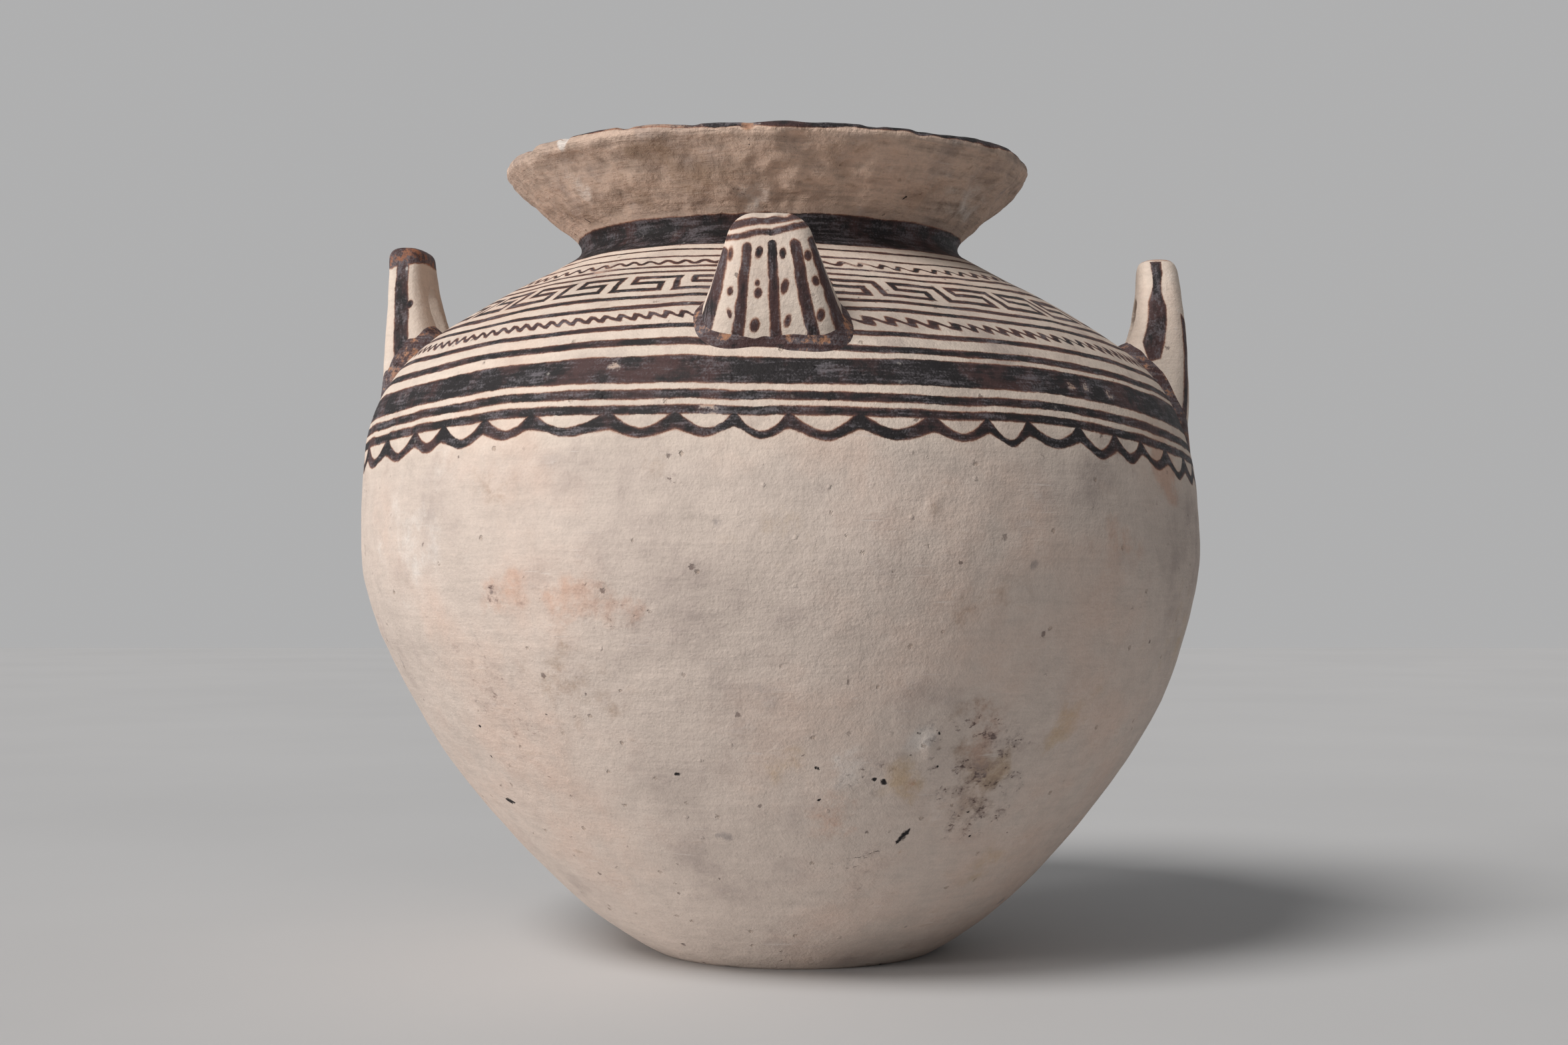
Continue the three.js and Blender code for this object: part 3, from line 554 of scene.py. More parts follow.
class Wall:
    """The whole skin of the pot as one grid of points, which the rings of wall are cut from."""

    def __init__(self, shape):
        self.shape = shape
        self.outline = Outline(shape)
        self.turns = np.linspace(-180, 180, COLUMNS, endpoint=False)
        self.make_rings()
        self.make_rows()
        self.make_points()

    def make_rings(self):
        """The stretch of the outline that each ring covers, and the height of its rows."""
        shape, line = self.shape, self.outline
        levels = {"base": 0, "belly": shape.belly_height, "neck": line.neck_height, "lip": shape.height}
        joints = [line.up_to(levels[level] + above * MM) for _, level, above, _ in RINGS.values()]
        spans = zip(joints, joints[1:] + [line.end])
        self.rings = {name: (span, RINGS[name][3]) for name, span in zip(RINGS, spans)}

    def make_rows(self):
        """One row for each level of the grid: place, direction out, distance for the painter."""
        shape, line = self.shape, self.outline
        places, outs, marks, self.slices = [], [], [], {}

        def add(place, out, mark):
            places.extend(place)
            outs.extend(out)
            marks.extend(mark)

        bottom = np.array(BASE_CIRCLES) / 64 * shape.base_diameter / 2
        add([(r, 0) for r in bottom], [(0, -1)] * len(bottom), -(bottom[-1] - bottom + BASE_MARK))
        for name, ((low, high), step) in self.rings.items():
            is_base = name == "base_disc"
            start = 0 if is_base else len(places) - 1
            rows = np.linspace(low, high, max(2, round((high - low) / step) + 1))
            rows = rows if is_base else rows[1:]
            place, out = line.at(rows)
            add(place, out, rows)
            self.slices[name] = [start, len(places)]
        arc = np.linspace(0, math.pi, LIP_ARC_ROWS + 1)[1:-1]
        way = line.funnel_slope - math.pi / 2 + arc
        out = np.stack((np.cos(way), np.sin(way)), axis=1)
        add(line.lip_centre + line.lip_radius * out, out, line.end + line.lip_radius * arc)
        over = line.end + math.pi * line.lip_radius
        floor_edge = line.up_to(shape.floor, shape.wall)
        for name in reversed(self.rings):
            is_lip = name == "lip_coil"
            low, high = (end + shape.scarf for end in self.rings[name][0])
            start = len(places) - 1
            if is_lip:
                high, start = line.end, len(places)
            if name == "base_disc":
                low = floor_edge
            step = INNER_LIP_ROW if is_lip else INNER_ROW
            rows = np.linspace(high, low, max(2, round((high - low) / step) + 1))
            rows = rows if is_lip else rows[1:]
            place, out = line.at(rows, shape.wall)
            add(place, -out, over + line.end - rows)
            self.slices[name] += [start, len(places)]
        radius = places[-1][0]
        shares = np.array(FLOOR_CIRCLES)
        add([(radius * s, shape.floor) for s in shares], [(0, 1)] * len(shares),
            marks[-1] + radius * (1 - shares))
        self.slices["base_disc"][3] = len(places)
        self.places, self.outs, self.marks = np.array(places), np.array(outs), np.array(marks)

    def make_points(self):
        """The dented points of the grid, with their stains and their normals."""
        shape = self.shape
        way = np.radians(self.turns)
        round_x, round_y = np.sin(way), -np.cos(way)
        radius, height = self.places[:, :1], self.places[:, 1:]
        points = np.stack((radius * round_x, radius * round_y, height + 0 * round_x), axis=2)
        out = np.stack((self.outs[:, :1] * round_x, self.outs[:, :1] * round_y,
                        self.outs[:, 1:] + 0 * round_x), axis=2)
        marks = self.marks[:, None]
        points = points + (self.dents(points, marks) * MM)[..., None] * out
        reach = np.hypot(points[..., 0], points[..., 1])
        limit = shape.belly_diameter / 2 - SIDE_MARGIN
        points[..., :2] *= np.minimum(1, limit / np.maximum(reach, MM))[..., None]
        points[..., 2] = np.clip(points[..., 2], 0, shape.height - TOP_MARGIN)
        self.points = lean_over(points, shape)
        self.stains = self.stain_shares(points)
        around = np.roll(self.points, -1, axis=1) - np.roll(self.points, 1, axis=1)
        upward = np.gradient(self.points, axis=0)
        normal = np.cross(around, upward)
        self.normals = normal / np.linalg.norm(normal, axis=2, keepdims=True)

    def dents(self, points, marks):
        """How far the hand-smoothed clay stands out from its outline, in mm."""
        line = self.outline
        inside = marks > line.end + math.pi * line.lip_radius
        outside = ~inside
        fade = soft_step(marks, 0, BASE_FADE) * np.where(inside, INNER_LUMPS, 1.0)
        calm = 1 - LUMPY_CALM * soft_step(marks, *LUMPY_TO)
        funnel = soft_step(marks, *LUMPY_FROM) * calm * outside
        clay = {name: lumps(points, size, seed) for name, (size, seed, *_) in LUMPS.items()}
        dents, rough = -LUMPS_INSIDE, 0
        for name, (_, _, on_wall, on_funnel) in LUMPS.items():
            dents = dents + on_wall * clay[name]
            rough = rough + on_funnel * clay[name]
        dents = dents + funnel * rough
        small, fine = clay["small"], clay["fine"]
        for turn, along, height in KNEES:
            beside = np.cos(np.radians(self.turns - turn)).clip(0, 1) ** 1.5
            dents = dents + height * beside * np.exp(-np.abs(marks / MM - along) / KNEE_REACH)
        for turn, along, radius, depth in DENTS:
            reach = self.reach(points, turn, along, radius) + 0.25 * small
            dents = dents - outside * depth * (1 - soft_step(reach, 0.2, 1))
        for turn, along, radius in ROUGH_PLACES:
            near = 1 - soft_step(self.reach(points, turn, along, radius), 0.3, 1)
            dents = dents + outside * near * (1.0 * fine + 0.6 * small)
        middle_turn, half_turn, along, depth, half_width = LIP_GROOVE
        beside = 1 - soft_step(np.abs(self.turns - middle_turn), 0.6 * half_turn, half_turn)
        wavy = marks / MM - along + 1.2 * small
        dents = dents - outside * depth * beside * np.exp(-((wavy / half_width) ** 2))
        return dents * fade

    def stain_shares(self, points):
        """Strength of each kind of stain, and of wear, at each point of the grid."""
        outside = self.marks[:, None] < self.outline.end + math.pi * self.outline.lip_radius
        ragged = sum(share * lumps(points, size, seed) for share, size, seed in STAIN_EDGE)
        shares = {}
        for kind, places in STAINS.items():
            shares[kind] = np.zeros(points.shape[:2])
            for turn, along, radius, strength in places:
                near = 1 - soft_step(self.reach(points, turn, along, radius) + ragged, 0.1, 1.15)
                shares[kind] = np.maximum(shares[kind], outside * near * strength)
        return shares

    def reach(self, points, turn, along, radius):
        """Distance of points from a place on the outside, in units of a radius in mm."""
        across, height = self.outline.spot(along * MM)
        way = math.radians(turn)
        place = (across * math.sin(way), -across * math.cos(way), height)
        return np.linalg.norm(points - place, axis=2) / (radius * MM)

    def ring_mesh(self, name):
        """Mesh of one ring of wall: outer face, inner face and the hidden joint faces."""
        outer0, outer1, inner0, inner1 = self.slices[name]
        if name == "lip_coil":
            spans = [np.arange(outer0, inner1)]
        else:
            spans = [np.arange(outer0, outer1), np.arange(inner0, inner1)]
        rows = np.concatenate(spans)
        columns = np.arange(COLUMNS)
        points = self.points[rows].reshape(-1, 3)
        normals = self.normals[rows].reshape(-1, 3)
        strips = []
        first = 0
        for span in spans:
            strips += [(first + i, first + i + 1, True) for i in range(len(span) - 1)]
            first += len(span)
        is_base = name == "base_disc"
        if len(spans) == 2:
            strips.append((len(spans[0]) - 1, len(spans[0]), False))
        if not is_base:
            strips.append((len(rows) - 1, 0, False))
        quads, smooth = [], []
        following = (columns + 1) % COLUMNS
        for low, high, is_skin in strips:
            a, b = low * COLUMNS, high * COLUMNS
            quads.append(np.stack((a + columns, a + following, b + following, b + columns), axis=1))
            smooth.append(np.full(COLUMNS, is_skin))
        quads, smooth = np.concatenate(quads), np.concatenate(smooth)
        faces = quads.tolist()
        if is_base:
            low = np.append(self.points[rows[0]].mean(axis=0)[:2], 0)
            high = self.points[rows[-1]].mean(axis=0)
            centre = len(points)
            points = np.vstack((points, low, high))
            normals = np.vstack((normals, (0, 0, -1), (0, 0, 1)))
            last = (len(rows) - 1) * COLUMNS
            faces += [[centre, int(following[j]), int(j)] for j in columns]
            faces += [[last + int(j), last + int(following[j]), centre + 1] for j in columns]
        mesh = bpy.data.meshes.new(name + "_clay")
        mesh.from_pydata(points.tolist(), [], faces)
        flags = np.concatenate((smooth, np.ones(len(faces) - len(quads), bool)))
        mesh.polygons.foreach_set("use_smooth", flags)
        self.write_maps(mesh, name, rows, quads, smooth, len(spans[0]))
        for kind, shares in self.stains.items():
            values = np.zeros(len(points), np.float32)
            values[: len(rows) * COLUMNS] = shares[rows].ravel()
            mesh.attributes.new("stain_" + kind, "FLOAT", "POINT").data.foreach_set("value", values)
        corners = np.concatenate([np.asarray(face) for face in faces])
        loop_normals = normals[corners]
        face_of = np.concatenate([np.full(len(face), i) for i, face in enumerate(faces)])
        flat = np.zeros(len(mesh.polygons) * 3, np.float32)
        mesh.polygons.foreach_get("normal", flat)
        hidden = ~flags[face_of]
        loop_normals[hidden] = flat.reshape(-1, 3)[face_of[hidden]]
        mesh.normals_split_custom_set(loop_normals.tolist())
        return mesh

    def write_maps(self, mesh, name, rows, quads, smooth, outer_count):
        """Writes the painter's map, the pattern phases and the map that a bake may use."""
        count = len(mesh.loops)
        edge_turns = np.append(self.turns, 180.0)
        marks = self.marks[rows] / MM
        lines = marks[:, None] - sway(edge_turns, marks) * (marks < SWAY_END)[:, None]
        phase, drop = scallop_phase(edge_turns)
        low_wave = np.interp(edge_turns, WAVE_ANGLES, WAVE_COUNTS)
        high_wave = edge_turns / 360 * HIGH_WAVES + HIGH_WAVE_START
        row_of = quads // COLUMNS
        column_of = quads % COLUMNS
        wraps = (column_of[:, :1] == COLUMNS - 1) & (column_of == 0)
        column_of = np.where(wraps, COLUMNS, column_of)
        used = quads.size
        patterns = {"paint_place": (edge_turns[column_of] / 360, lines[row_of, column_of]),
                    "scallop_place": (phase[column_of], drop[column_of]),
                    "wave_place": (low_wave[column_of], high_wave[column_of])}
        for title, places in patterns.items():
            values = np.zeros((count, 2), np.float32)
            values[:used] = np.stack([place.ravel() for place in places], axis=1)
            if title == "paint_place":
                values[used:, 1] = UNPAINTED
            mesh.uv_layers.new(name=title).uv.foreach_set("vector", values.ravel())
        if name == "base_disc":
            return
        share = COLUMNS // MAP_STRIPS
        strip_of = np.minimum(column_of.min(axis=1) // share, MAP_STRIPS - 1)[:, None]
        across = (column_of - strip_of * share) / share
        is_lip = name == "lip_coil"
        outer, outer_top = (len(rows), MAP_TOP_LIP) if is_lip else (outer_count, MAP_TOP)
        up = row_of / max(1, outer - 1)
        height, width = outer_top / MAP_STRIPS, 1 - 2 * MAP_MARGIN
        u = MAP_MARGIN + across * width
        v = (strip_of + MAP_MARGIN + np.clip(up, 0, 1) * width) * height
        inner, joints = row_of.min(axis=1) >= outer, ~smooth
        inner_up = (row_of - outer) / max(1, len(rows) - outer - 1)
        for part in (inner, joints):
            u[part] = MAP_MARGIN + (column_of[part] / COLUMNS) * width
        v[inner] = outer_top + MAP_INNER + np.clip(inner_up[inner], 0, 1) * MAP_INNER_HEIGHT
        side = (row_of[joints] != row_of[joints][:, :1]).astype(float)
        top_joint = (row_of[joints].min(axis=1) > 0)[:, None]
        v[joints] = MAP_JOINT + MAP_JOINT_STEP * top_joint + MAP_JOINT_HEIGHT * side
        baked = np.zeros((count, 2), np.float32)
        baked[:used, 0], baked[:used, 1] = u.ravel(), v.ravel()
        mesh.uv_layers.new(name="OFBake").uv.foreach_set("vector", baked.ravel())


class Lug:
    """A handle or tab: X away from the pot's axis, Y along the shoulder and Z up."""

    SQUARENESS = 3.6
    SUNK_ROOT = 1.07

    def __init__(self, scene, name, turn, kind, is_handle):
        self.shape, self.sizes, self.name = scene.krater_shape, scene.krater_lugs, name
        sizes = self.sizes
        self.turn, self.is_handle = turn, is_handle
        self.outline = Outline(self.shape)
        self.inset, self.rise, self.flare, self.bulge, self.coil_height = (
            getattr(sizes, kind + size) for size in ("_inset", "_rise", "_flare", "_bulge", "_coil_height"))
        self.radius = self.shape.belly_diameter / 2 - self.inset
        self.top_width, self.root_width, self.crown, self.coil_width = (
            getattr(sizes, ("handle" if is_handle else "tab") + size)
            for size in ("_top", "_root", "_crown", "_coil_width"))
        self.top = float(self.outline.shoulder_height(self.radius)) + self.rise

    def section(self, share, grow=0.0):
        """Middle, half depth and half width of the section at a share down from the top."""
        sizes = self.sizes
        down = np.clip(share, 0, 1)
        inner = self.radius - sizes.thickness / 2 - sizes.inner_flare * down**2 - grow
        bulge = self.bulge * np.sin(math.pi * down)
        outer = self.radius + sizes.thickness / 2 + self.flare * down**2 + bulge + grow
        width = self.top_width + (self.root_width - self.top_width) * down
        return (inner + outer) / 2, (outer - inner) / 2, width / 2 + grow

    def height_at(self, x, y, share):
        """Height at a share of the way from the lug's top to the shoulder."""
        ground = self.outline.shoulder_height(np.hypot(x, y))
        return self.top + (ground - self.top) * share

    def ring(self, share, inset):
        """Points round the section at a share down from the top."""
        middle, depth, width = self.section(share, -inset)
        turn = np.linspace(0, 2 * math.pi, LUG_FACETS, endpoint=False)
        power = 2 / self.SQUARENESS
        x = middle + depth * np.sign(np.cos(turn)) * np.abs(np.cos(turn)) ** power
        y = width * np.sign(np.sin(turn)) * np.abs(np.sin(turn)) ** power
        return np.stack((x, y, self.height_at(x, y, share)), axis=1)

    def body(self):
        """The lug before its opening is cut, as a closed mesh with its root sunk in the wall."""
        crown = self.crown
        crown_share = crown / self.rise
        rings = []
        for turn in np.linspace(0, math.pi / 2, CROWN_RINGS + 1)[:-1]:
            share = crown_share * (1 - math.cos(turn))
            rings.append(self.ring(share, crown * (1 - math.sin(turn))))
        rings += [self.ring(share, 0) for share in np.linspace(crown_share, self.SUNK_ROOT, LUG_RINGS)]
        last = (len(rings) - 1) * LUG_FACETS
        faces = ring_faces(len(rings), LUG_FACETS)
        faces.append(tuple(range(LUG_FACETS)))
        faces.append(tuple(last + i for i in reversed(range(LUG_FACETS))))
        mesh = bpy.data.meshes.new(self.name + "_body")
        mesh.from_pydata(np.vstack(rings).tolist(), [], faces)
        return mesh

    def opening(self):
        """The finger opening as a closed mesh: an arch that runs right through."""
        half = self.sizes.opening_width / 2
        top = self.top - self.sizes.opening_bar
        turn = np.linspace(0, math.pi, ARCH_POINTS)
        arch = [(half, self.shape.belly_height)]
        arch += [(half * math.cos(t), top - half + half * math.sin(t)) for t in turn]
        arch += [(-half, self.shape.belly_height)]
        middle, depth, _ = self.section(1)
        count = len(arch)
        points = [(middle + 2 * depth, y, z) for y, z in arch]
        points += [(middle - 2 * depth, y, z) for y, z in arch]
        faces = [tuple(range(count)), tuple(reversed(range(count, 2 * count)))]
        faces += [(i, count + i, count + (i + 1) % count, (i + 1) % count) for i in range(count)]
        mesh = bpy.data.meshes.new(self.name + "_opening")
        mesh.from_pydata(points, [], faces)
        return mesh

    def moulded(self):
        """The lug's points and faces after its edges are softened as by wet fingers."""
        lug = bpy.data.objects.new(self.name + "_rough", self.body())
        bpy.context.scene.collection.objects.link(lug)
        spare = [lug]
        if self.is_handle:
            hole = bpy.data.objects.new(self.name + "_hole", self.opening())
            bpy.context.scene.collection.objects.link(hole)
            spare.append(hole)
            cut = lug.modifiers.new("finger opening", "BOOLEAN")
            cut.operation, cut.solver, cut.object = "DIFFERENCE", "EXACT", hole
        clay = lug.modifiers.new("clay", "REMESH")
        clay.mode, clay.voxel_size = "VOXEL", CLAY_VOXEL
        wipe = lug.modifiers.new("wiped edges", "SMOOTH")
        wipe.factor, wipe.iterations = WIPE_STRENGTH, WIPES
        graph = bpy.context.evaluated_depsgraph_get()
        made = bpy.data.meshes.new_from_object(lug.evaluated_get(graph))
        for item in spare:
            rough = item.data
            bpy.data.objects.remove(item)
            bpy.data.meshes.remove(rough)
        made.name = self.name + "_clay"
        return made

    def place_of(self, points):
        """Place in depth, across and down of points on the lug, each as a share."""
        x, y, z = points.T
        ground = self.outline.shoulder_height(np.hypot(x, y))
        share = (self.top - z) / (self.top - ground)
        middle, depth, width = self.section(share)
        return np.stack(((x - middle) / depth, y / width, share), axis=1)

    def to_pot(self, points):
        """Turns points from the lug's own frame to its place on the leaning pot."""
        c, s = math.cos(self.turn), math.sin(self.turn)
        x, y, z = np.asarray(points).T
        return lean_over(np.stack((c * x - s * y, s * x + c * y, z), axis=1), self.shape)

    def mesh(self, chips=()):
        """The finished lug in its place, with lumps, chips and its painter's places."""
        mesh = self.moulded()
        points = np.zeros(len(mesh.vertices) * 3, np.float32)
        normals = np.zeros(len(mesh.vertices) * 3, np.float32)
        mesh.vertices.foreach_get("co", points)
        mesh.vertex_normals.foreach_get("vector", normals)
        points, normals = points.reshape(-1, 3).astype(float), normals.reshape(-1, 3)
        place = self.place_of(points)
        amount = sum(high * lumps(points, size, LUG_SEED + self.turn) for size, high in LUG_LUMPS)
        amount = amount - LUG_INSIDE
        for across, depth, radius, bite in chips:
            middle, half_depth, half_width = self.section(0)
            centre = np.array((middle + depth * half_depth, across * half_width, self.top))
            gap = np.linalg.norm((points - centre) * (1, 1, CHIP_FLAT), axis=1)
            gap = gap + CHIP_RAGGED * lumps(points, 0.005, 2.2)
            amount = amount - bite * (1 - soft_step(gap, 0.25 * radius, radius))
        points = points + normals * (amount * MM)[:, None]
        points[:, 2] = np.minimum(points[:, 2], self.top)
        mesh.vertices.foreach_set("co", self.to_pot(points).astype(np.float32).ravel())
        layer = mesh.attributes.new("lug_place", "FLOAT_VECTOR", "POINT")
        layer.data.foreach_set("vector", place.astype(np.float32).ravel())
        mesh.polygons.foreach_set("use_smooth", np.ones(len(mesh.polygons), bool))
        mesh.update()
        return mesh

    def root_loop(self, side, share, spread=0.0):
        """Points round the root, or round one leg of a handle, at a share down from the top."""
        middle, depth, width = self.section(share)
        edge = self.sizes.opening_width / 2 * abs(side)
        root_width = self.section(1)[2]
        centre_y = side * (edge + root_width) / 2
        turn = np.linspace(0, 2 * math.pi, COIL_STEPS, endpoint=False)
        way = np.stack((np.cos(turn), np.sin(turn)))
        low, high = np.zeros(COIL_STEPS), np.full(COIL_STEPS, 2 * width)
        for _ in range(HALVINGS):
            reach = (low + high) / 2
            x, y = middle + reach * way[0], centre_y + reach * way[1]
            square_x, square_y = (np.abs(v) ** self.SQUARENESS for v in ((x - middle) / depth, y / width))
            inside = square_x + square_y < 1
            if side:
                inside &= side * y > edge
            low, high = np.where(inside, reach, low), np.where(inside, high, reach)
        loop = np.stack((middle + low * way[0], centre_y + low * way[1]), axis=1)
        ahead = np.roll(loop, -3, axis=0) - np.roll(loop, 3, axis=0)
        out = np.stack((ahead[:, 1], -ahead[:, 0]), axis=1)
        out /= np.linalg.norm(out, axis=1, keepdims=True)
        kernel = np.array((1, 2, 3, 2, 1)) / 9
        shifted = [np.roll(out, k, axis=0) * w for k, w in zip(range(-2, 3), kernel)]
        out = sum(shifted)
        loop = loop + out * np.asarray(spread).reshape(-1, 1)
        return np.column_stack((loop, self.height_at(loop[:, 0], loop[:, 1], share)))

    def bury(self, points, depth):
        """Moves points on the shoulder straight into the wall."""
        radius = np.hypot(points[:, 0], points[:, 1])
        step = 0.5 * MM
        rise = self.outline.shoulder_height(radius + step) - self.outline.shoulder_height(radius - step)
        slope = np.arctan2(rise, 2 * step)
        inward = 1 + depth * np.sin(slope) / radius
        sunk = points * np.stack((inward, inward, np.ones_like(inward)), axis=1)
        sunk[:, 2] -= depth * np.cos(slope)
        return sunk

    def coil_mesh(self, name, side):
        """A luting coil smeared into the corner between root and shoulder."""
        turn = np.linspace(0, 2 * math.pi, COIL_STEPS, endpoint=False)
        ripple = np.stack((np.cos(turn), np.sin(turn), 0 * turn + side), axis=1)
        stray = {way: share * lumps(ripple, size, seed + self.turn)
                 for way, (share, size, seed) in COIL_STRAYS.items()}
        wide = np.full(COIL_STEPS, self.coil_width)
        if not self.is_handle:
            wide = wide * (1 + COIL_SIDES * np.abs(np.sin(turn)) ** 3)
        wide = wide * (1 + stray["width"])
        tall = 1 - self.coil_height / self.rise * (1 + stray["height"])
        upper = self.root_loop(side, float(tall.mean()), -COIL_PRESS)
        corner = self.root_loop(side, 1.0)
        lower = self.bury(self.root_loop(side, 1.0, wide), COIL_BURIED)
        sunk = self.root_loop(side, 1.0, -COIL_HIDDEN)
        sunk[:, 2] -= COIL_DOWN
        bulge = COIL_BULGE + stray["bulge"]
        control = corner + bulge[:, None] * ((upper + lower) / 2 - corner)
        shares = [i / COIL_ROWS for i in range(COIL_ROWS + 1)]
        rows = [(1 - t) ** 2 * upper + 2 * t * (1 - t) * control + t * t * lower for t in shares]
        points = np.vstack(rows + [sunk])
        points[:, 2] += COIL_LUMPS * lumps(points, 0.006, 5.5)
        faces = ring_faces(len(rows) + 1, COIL_STEPS, closed=True)
        mesh = bpy.data.meshes.new(name + "_clay")
        mesh.from_pydata(self.to_pot(points).tolist(), [], faces)
        mesh.polygons.foreach_set("use_smooth", np.ones(len(faces), bool))
        across = np.repeat(np.append(np.linspace(0, 1, COIL_ROWS + 1), 0.5), COIL_STEPS)
        layer = mesh.attributes.new("coil_place", "FLOAT", "POINT")
        layer.data.foreach_set("value", across.astype(np.float32))
        mesh.update()
        return mesh


def all_lugs(scene):
    """The handles and tabs by name."""
    turn = scene.krater_lugs.handle_turn
    places = {
        "left_handle": (math.pi + turn, "left", True), "right_handle": (turn, "right", True),
        "front_tab": (-math.pi / 2, "tab", False), "rear_tab": (math.pi / 2, "tab", False),
    }
    return {name: Lug(scene, name, *place) for name, place in places.items()}


def put(tree, socket, value):
    """Links a signal or an output to an input, or sets the input to a constant."""
    value = getattr(value, "socket", value)
    if isinstance(value, bpy.types.NodeSocket):
        tree.links.new(value, socket)
    else:
        socket.default_value = value


class Signal:
    """A value in a shader tree. Arithmetic on it adds the nodes that work it out."""

    def __init__(self, tree, socket):
        self.tree, self.socket = tree, socket

    def math(self, operation, *others):
        node = self.tree.nodes.new("ShaderNodeMath")
        node.operation = operation
        for socket, value in zip(node.inputs, (self, *others)):
            put(self.tree, socket, value)
        return Signal(self.tree, node.outputs[0])

    def __add__(self, other):
        return self.math("ADD", other)

    def __sub__(self, other):
        return self.math("SUBTRACT", other)

    def __rsub__(self, other):
        return self.math("MULTIPLY_ADD", -1.0, other)

    def __mul__(self, other):
        return self.math("MULTIPLY", other)

    def __truediv__(self, other):
        return self.math("DIVIDE", other)

    def __abs__(self):
        return self.math("ABSOLUTE")

    __radd__, __rmul__ = __add__, __mul__

    def least(self, other):
        return self.math("MINIMUM", other)

    def most(self, other):
        return self.math("MAXIMUM", other)

    def ramp(self, low, high):
        """0 below low and 1 above high, or the other way round, with a soft change."""
        node = self.tree.nodes.new("ShaderNodeMapRange")
        node.interpolation_type = "SMOOTHSTEP"
        ends = {"Value": self, "From Min": min(low, high), "From Max": max(low, high),
                "To Min": float(low > high), "To Max": float(low < high)}
        for title, value in ends.items():
            put(self.tree, node.inputs[title], value)
        return Signal(self.tree, node.outputs["Result"])


def least_of(signals):
    """The smallest of several signals."""
    return functools.reduce(Signal.least, signals)


class Sheet:
    """Adds the nodes of one material or node group."""

    def __init__(self, tree):
        self.tree = tree

    def give(self, sockets, values):
        """Joins values to the sockets of the same names or numbers."""
        for key, value in values.items():
            put(self.tree, sockets[key], value)

    def node(self, kind, inputs=None, **settings):
        node = self.tree.nodes.new("ShaderNode" + kind)
        for key, value in settings.items():
            setattr(node, key, value)
        self.give(node.inputs, inputs or {})
        return node

    def signal(self, socket):
        return Signal(self.tree, socket)

    def position(self):
        return self.node("TexCoord").outputs["Object"]

    def stretched(self, vector, factors):
        return self.vector("MULTIPLY", vector, factors)

    def noise(self, vector, size, detail=2.0, rough=0.5):
        """Noise about 0, mostly from -0.3 to 0.3, with lumps of a size in metres."""
        inputs = {"Vector": vector, "Scale": 1 / size, "Detail": detail, "Roughness": rough}
        return self.signal(self.node("TexNoise", inputs).outputs[0]) - 0.5

    def cells(self, vector, size):
        """Distance to the nearest of scattered points, in cells, and a random value for each."""
        node = self.node("TexVoronoi", {"Vector": vector, "Scale": 1 / size})
        split = self.node("SeparateColor", {"Color": node.outputs["Color"]})
        return self.signal(node.outputs["Distance"]), self.signal(split.outputs[0])

    def map_place(self, name):
        """Both values of a map that the mesh brings."""
        node = self.node("UVMap", uv_map=name)
        split = self.node("SeparateXYZ", {0: node.outputs[0]})
        return self.signal(split.outputs[0]), self.signal(split.outputs[1])

    def share(self, name):
        """A value that the mesh brings for each point."""
        return self.signal(self.node("Attribute", attribute_name=name).outputs["Fac"])

    def vector(self, operation, *inputs):
        node = self.node("VectorMath", dict(enumerate(inputs)), operation=operation)
        is_value = operation in ("DOT_PRODUCT", "LENGTH", "DISTANCE")
        return self.signal(node.outputs[1]) if is_value else node.outputs[0]

    def mix(self, share, a, b, blend="MIX"):
        node = self.node("Mix", {0: share, 6: a, 7: b}, data_type="RGBA", blend_type=blend)
        return node.outputs[2]

    def times(self, tone, colour):
        """A colour made lighter or darker."""
        grey = self.node("CombineColor", {0: tone, 1: tone, 2: tone})
        return self.mix(1.0, colour, grey.outputs[0], "MULTIPLY")

    def group(self, made, inputs):
        return self.node("Group", inputs, node_tree=made)


def new_group(name, inputs, outputs):
    """An empty shader node group: the group, its sheet, its inputs as signals and its outputs."""
    group = bpy.data.node_groups.new(name, "ShaderNodeTree")
    kinds = {"colour": "NodeSocketColor", "value": "NodeSocketFloat", "vector": "NodeSocketVector"}
    for way, sockets in (("INPUT", inputs), ("OUTPUT", outputs)):
        for title, kind in sockets.items():
            group.interface.new_socket(title, in_out=way, socket_type=kinds[kind])
    start, end = group.nodes.new("NodeGroupInput"), group.nodes.new("NodeGroupOutput")
    given = {title: Signal(group, start.outputs[title]) for title in inputs}
    return group, Sheet(group), given, end.inputs


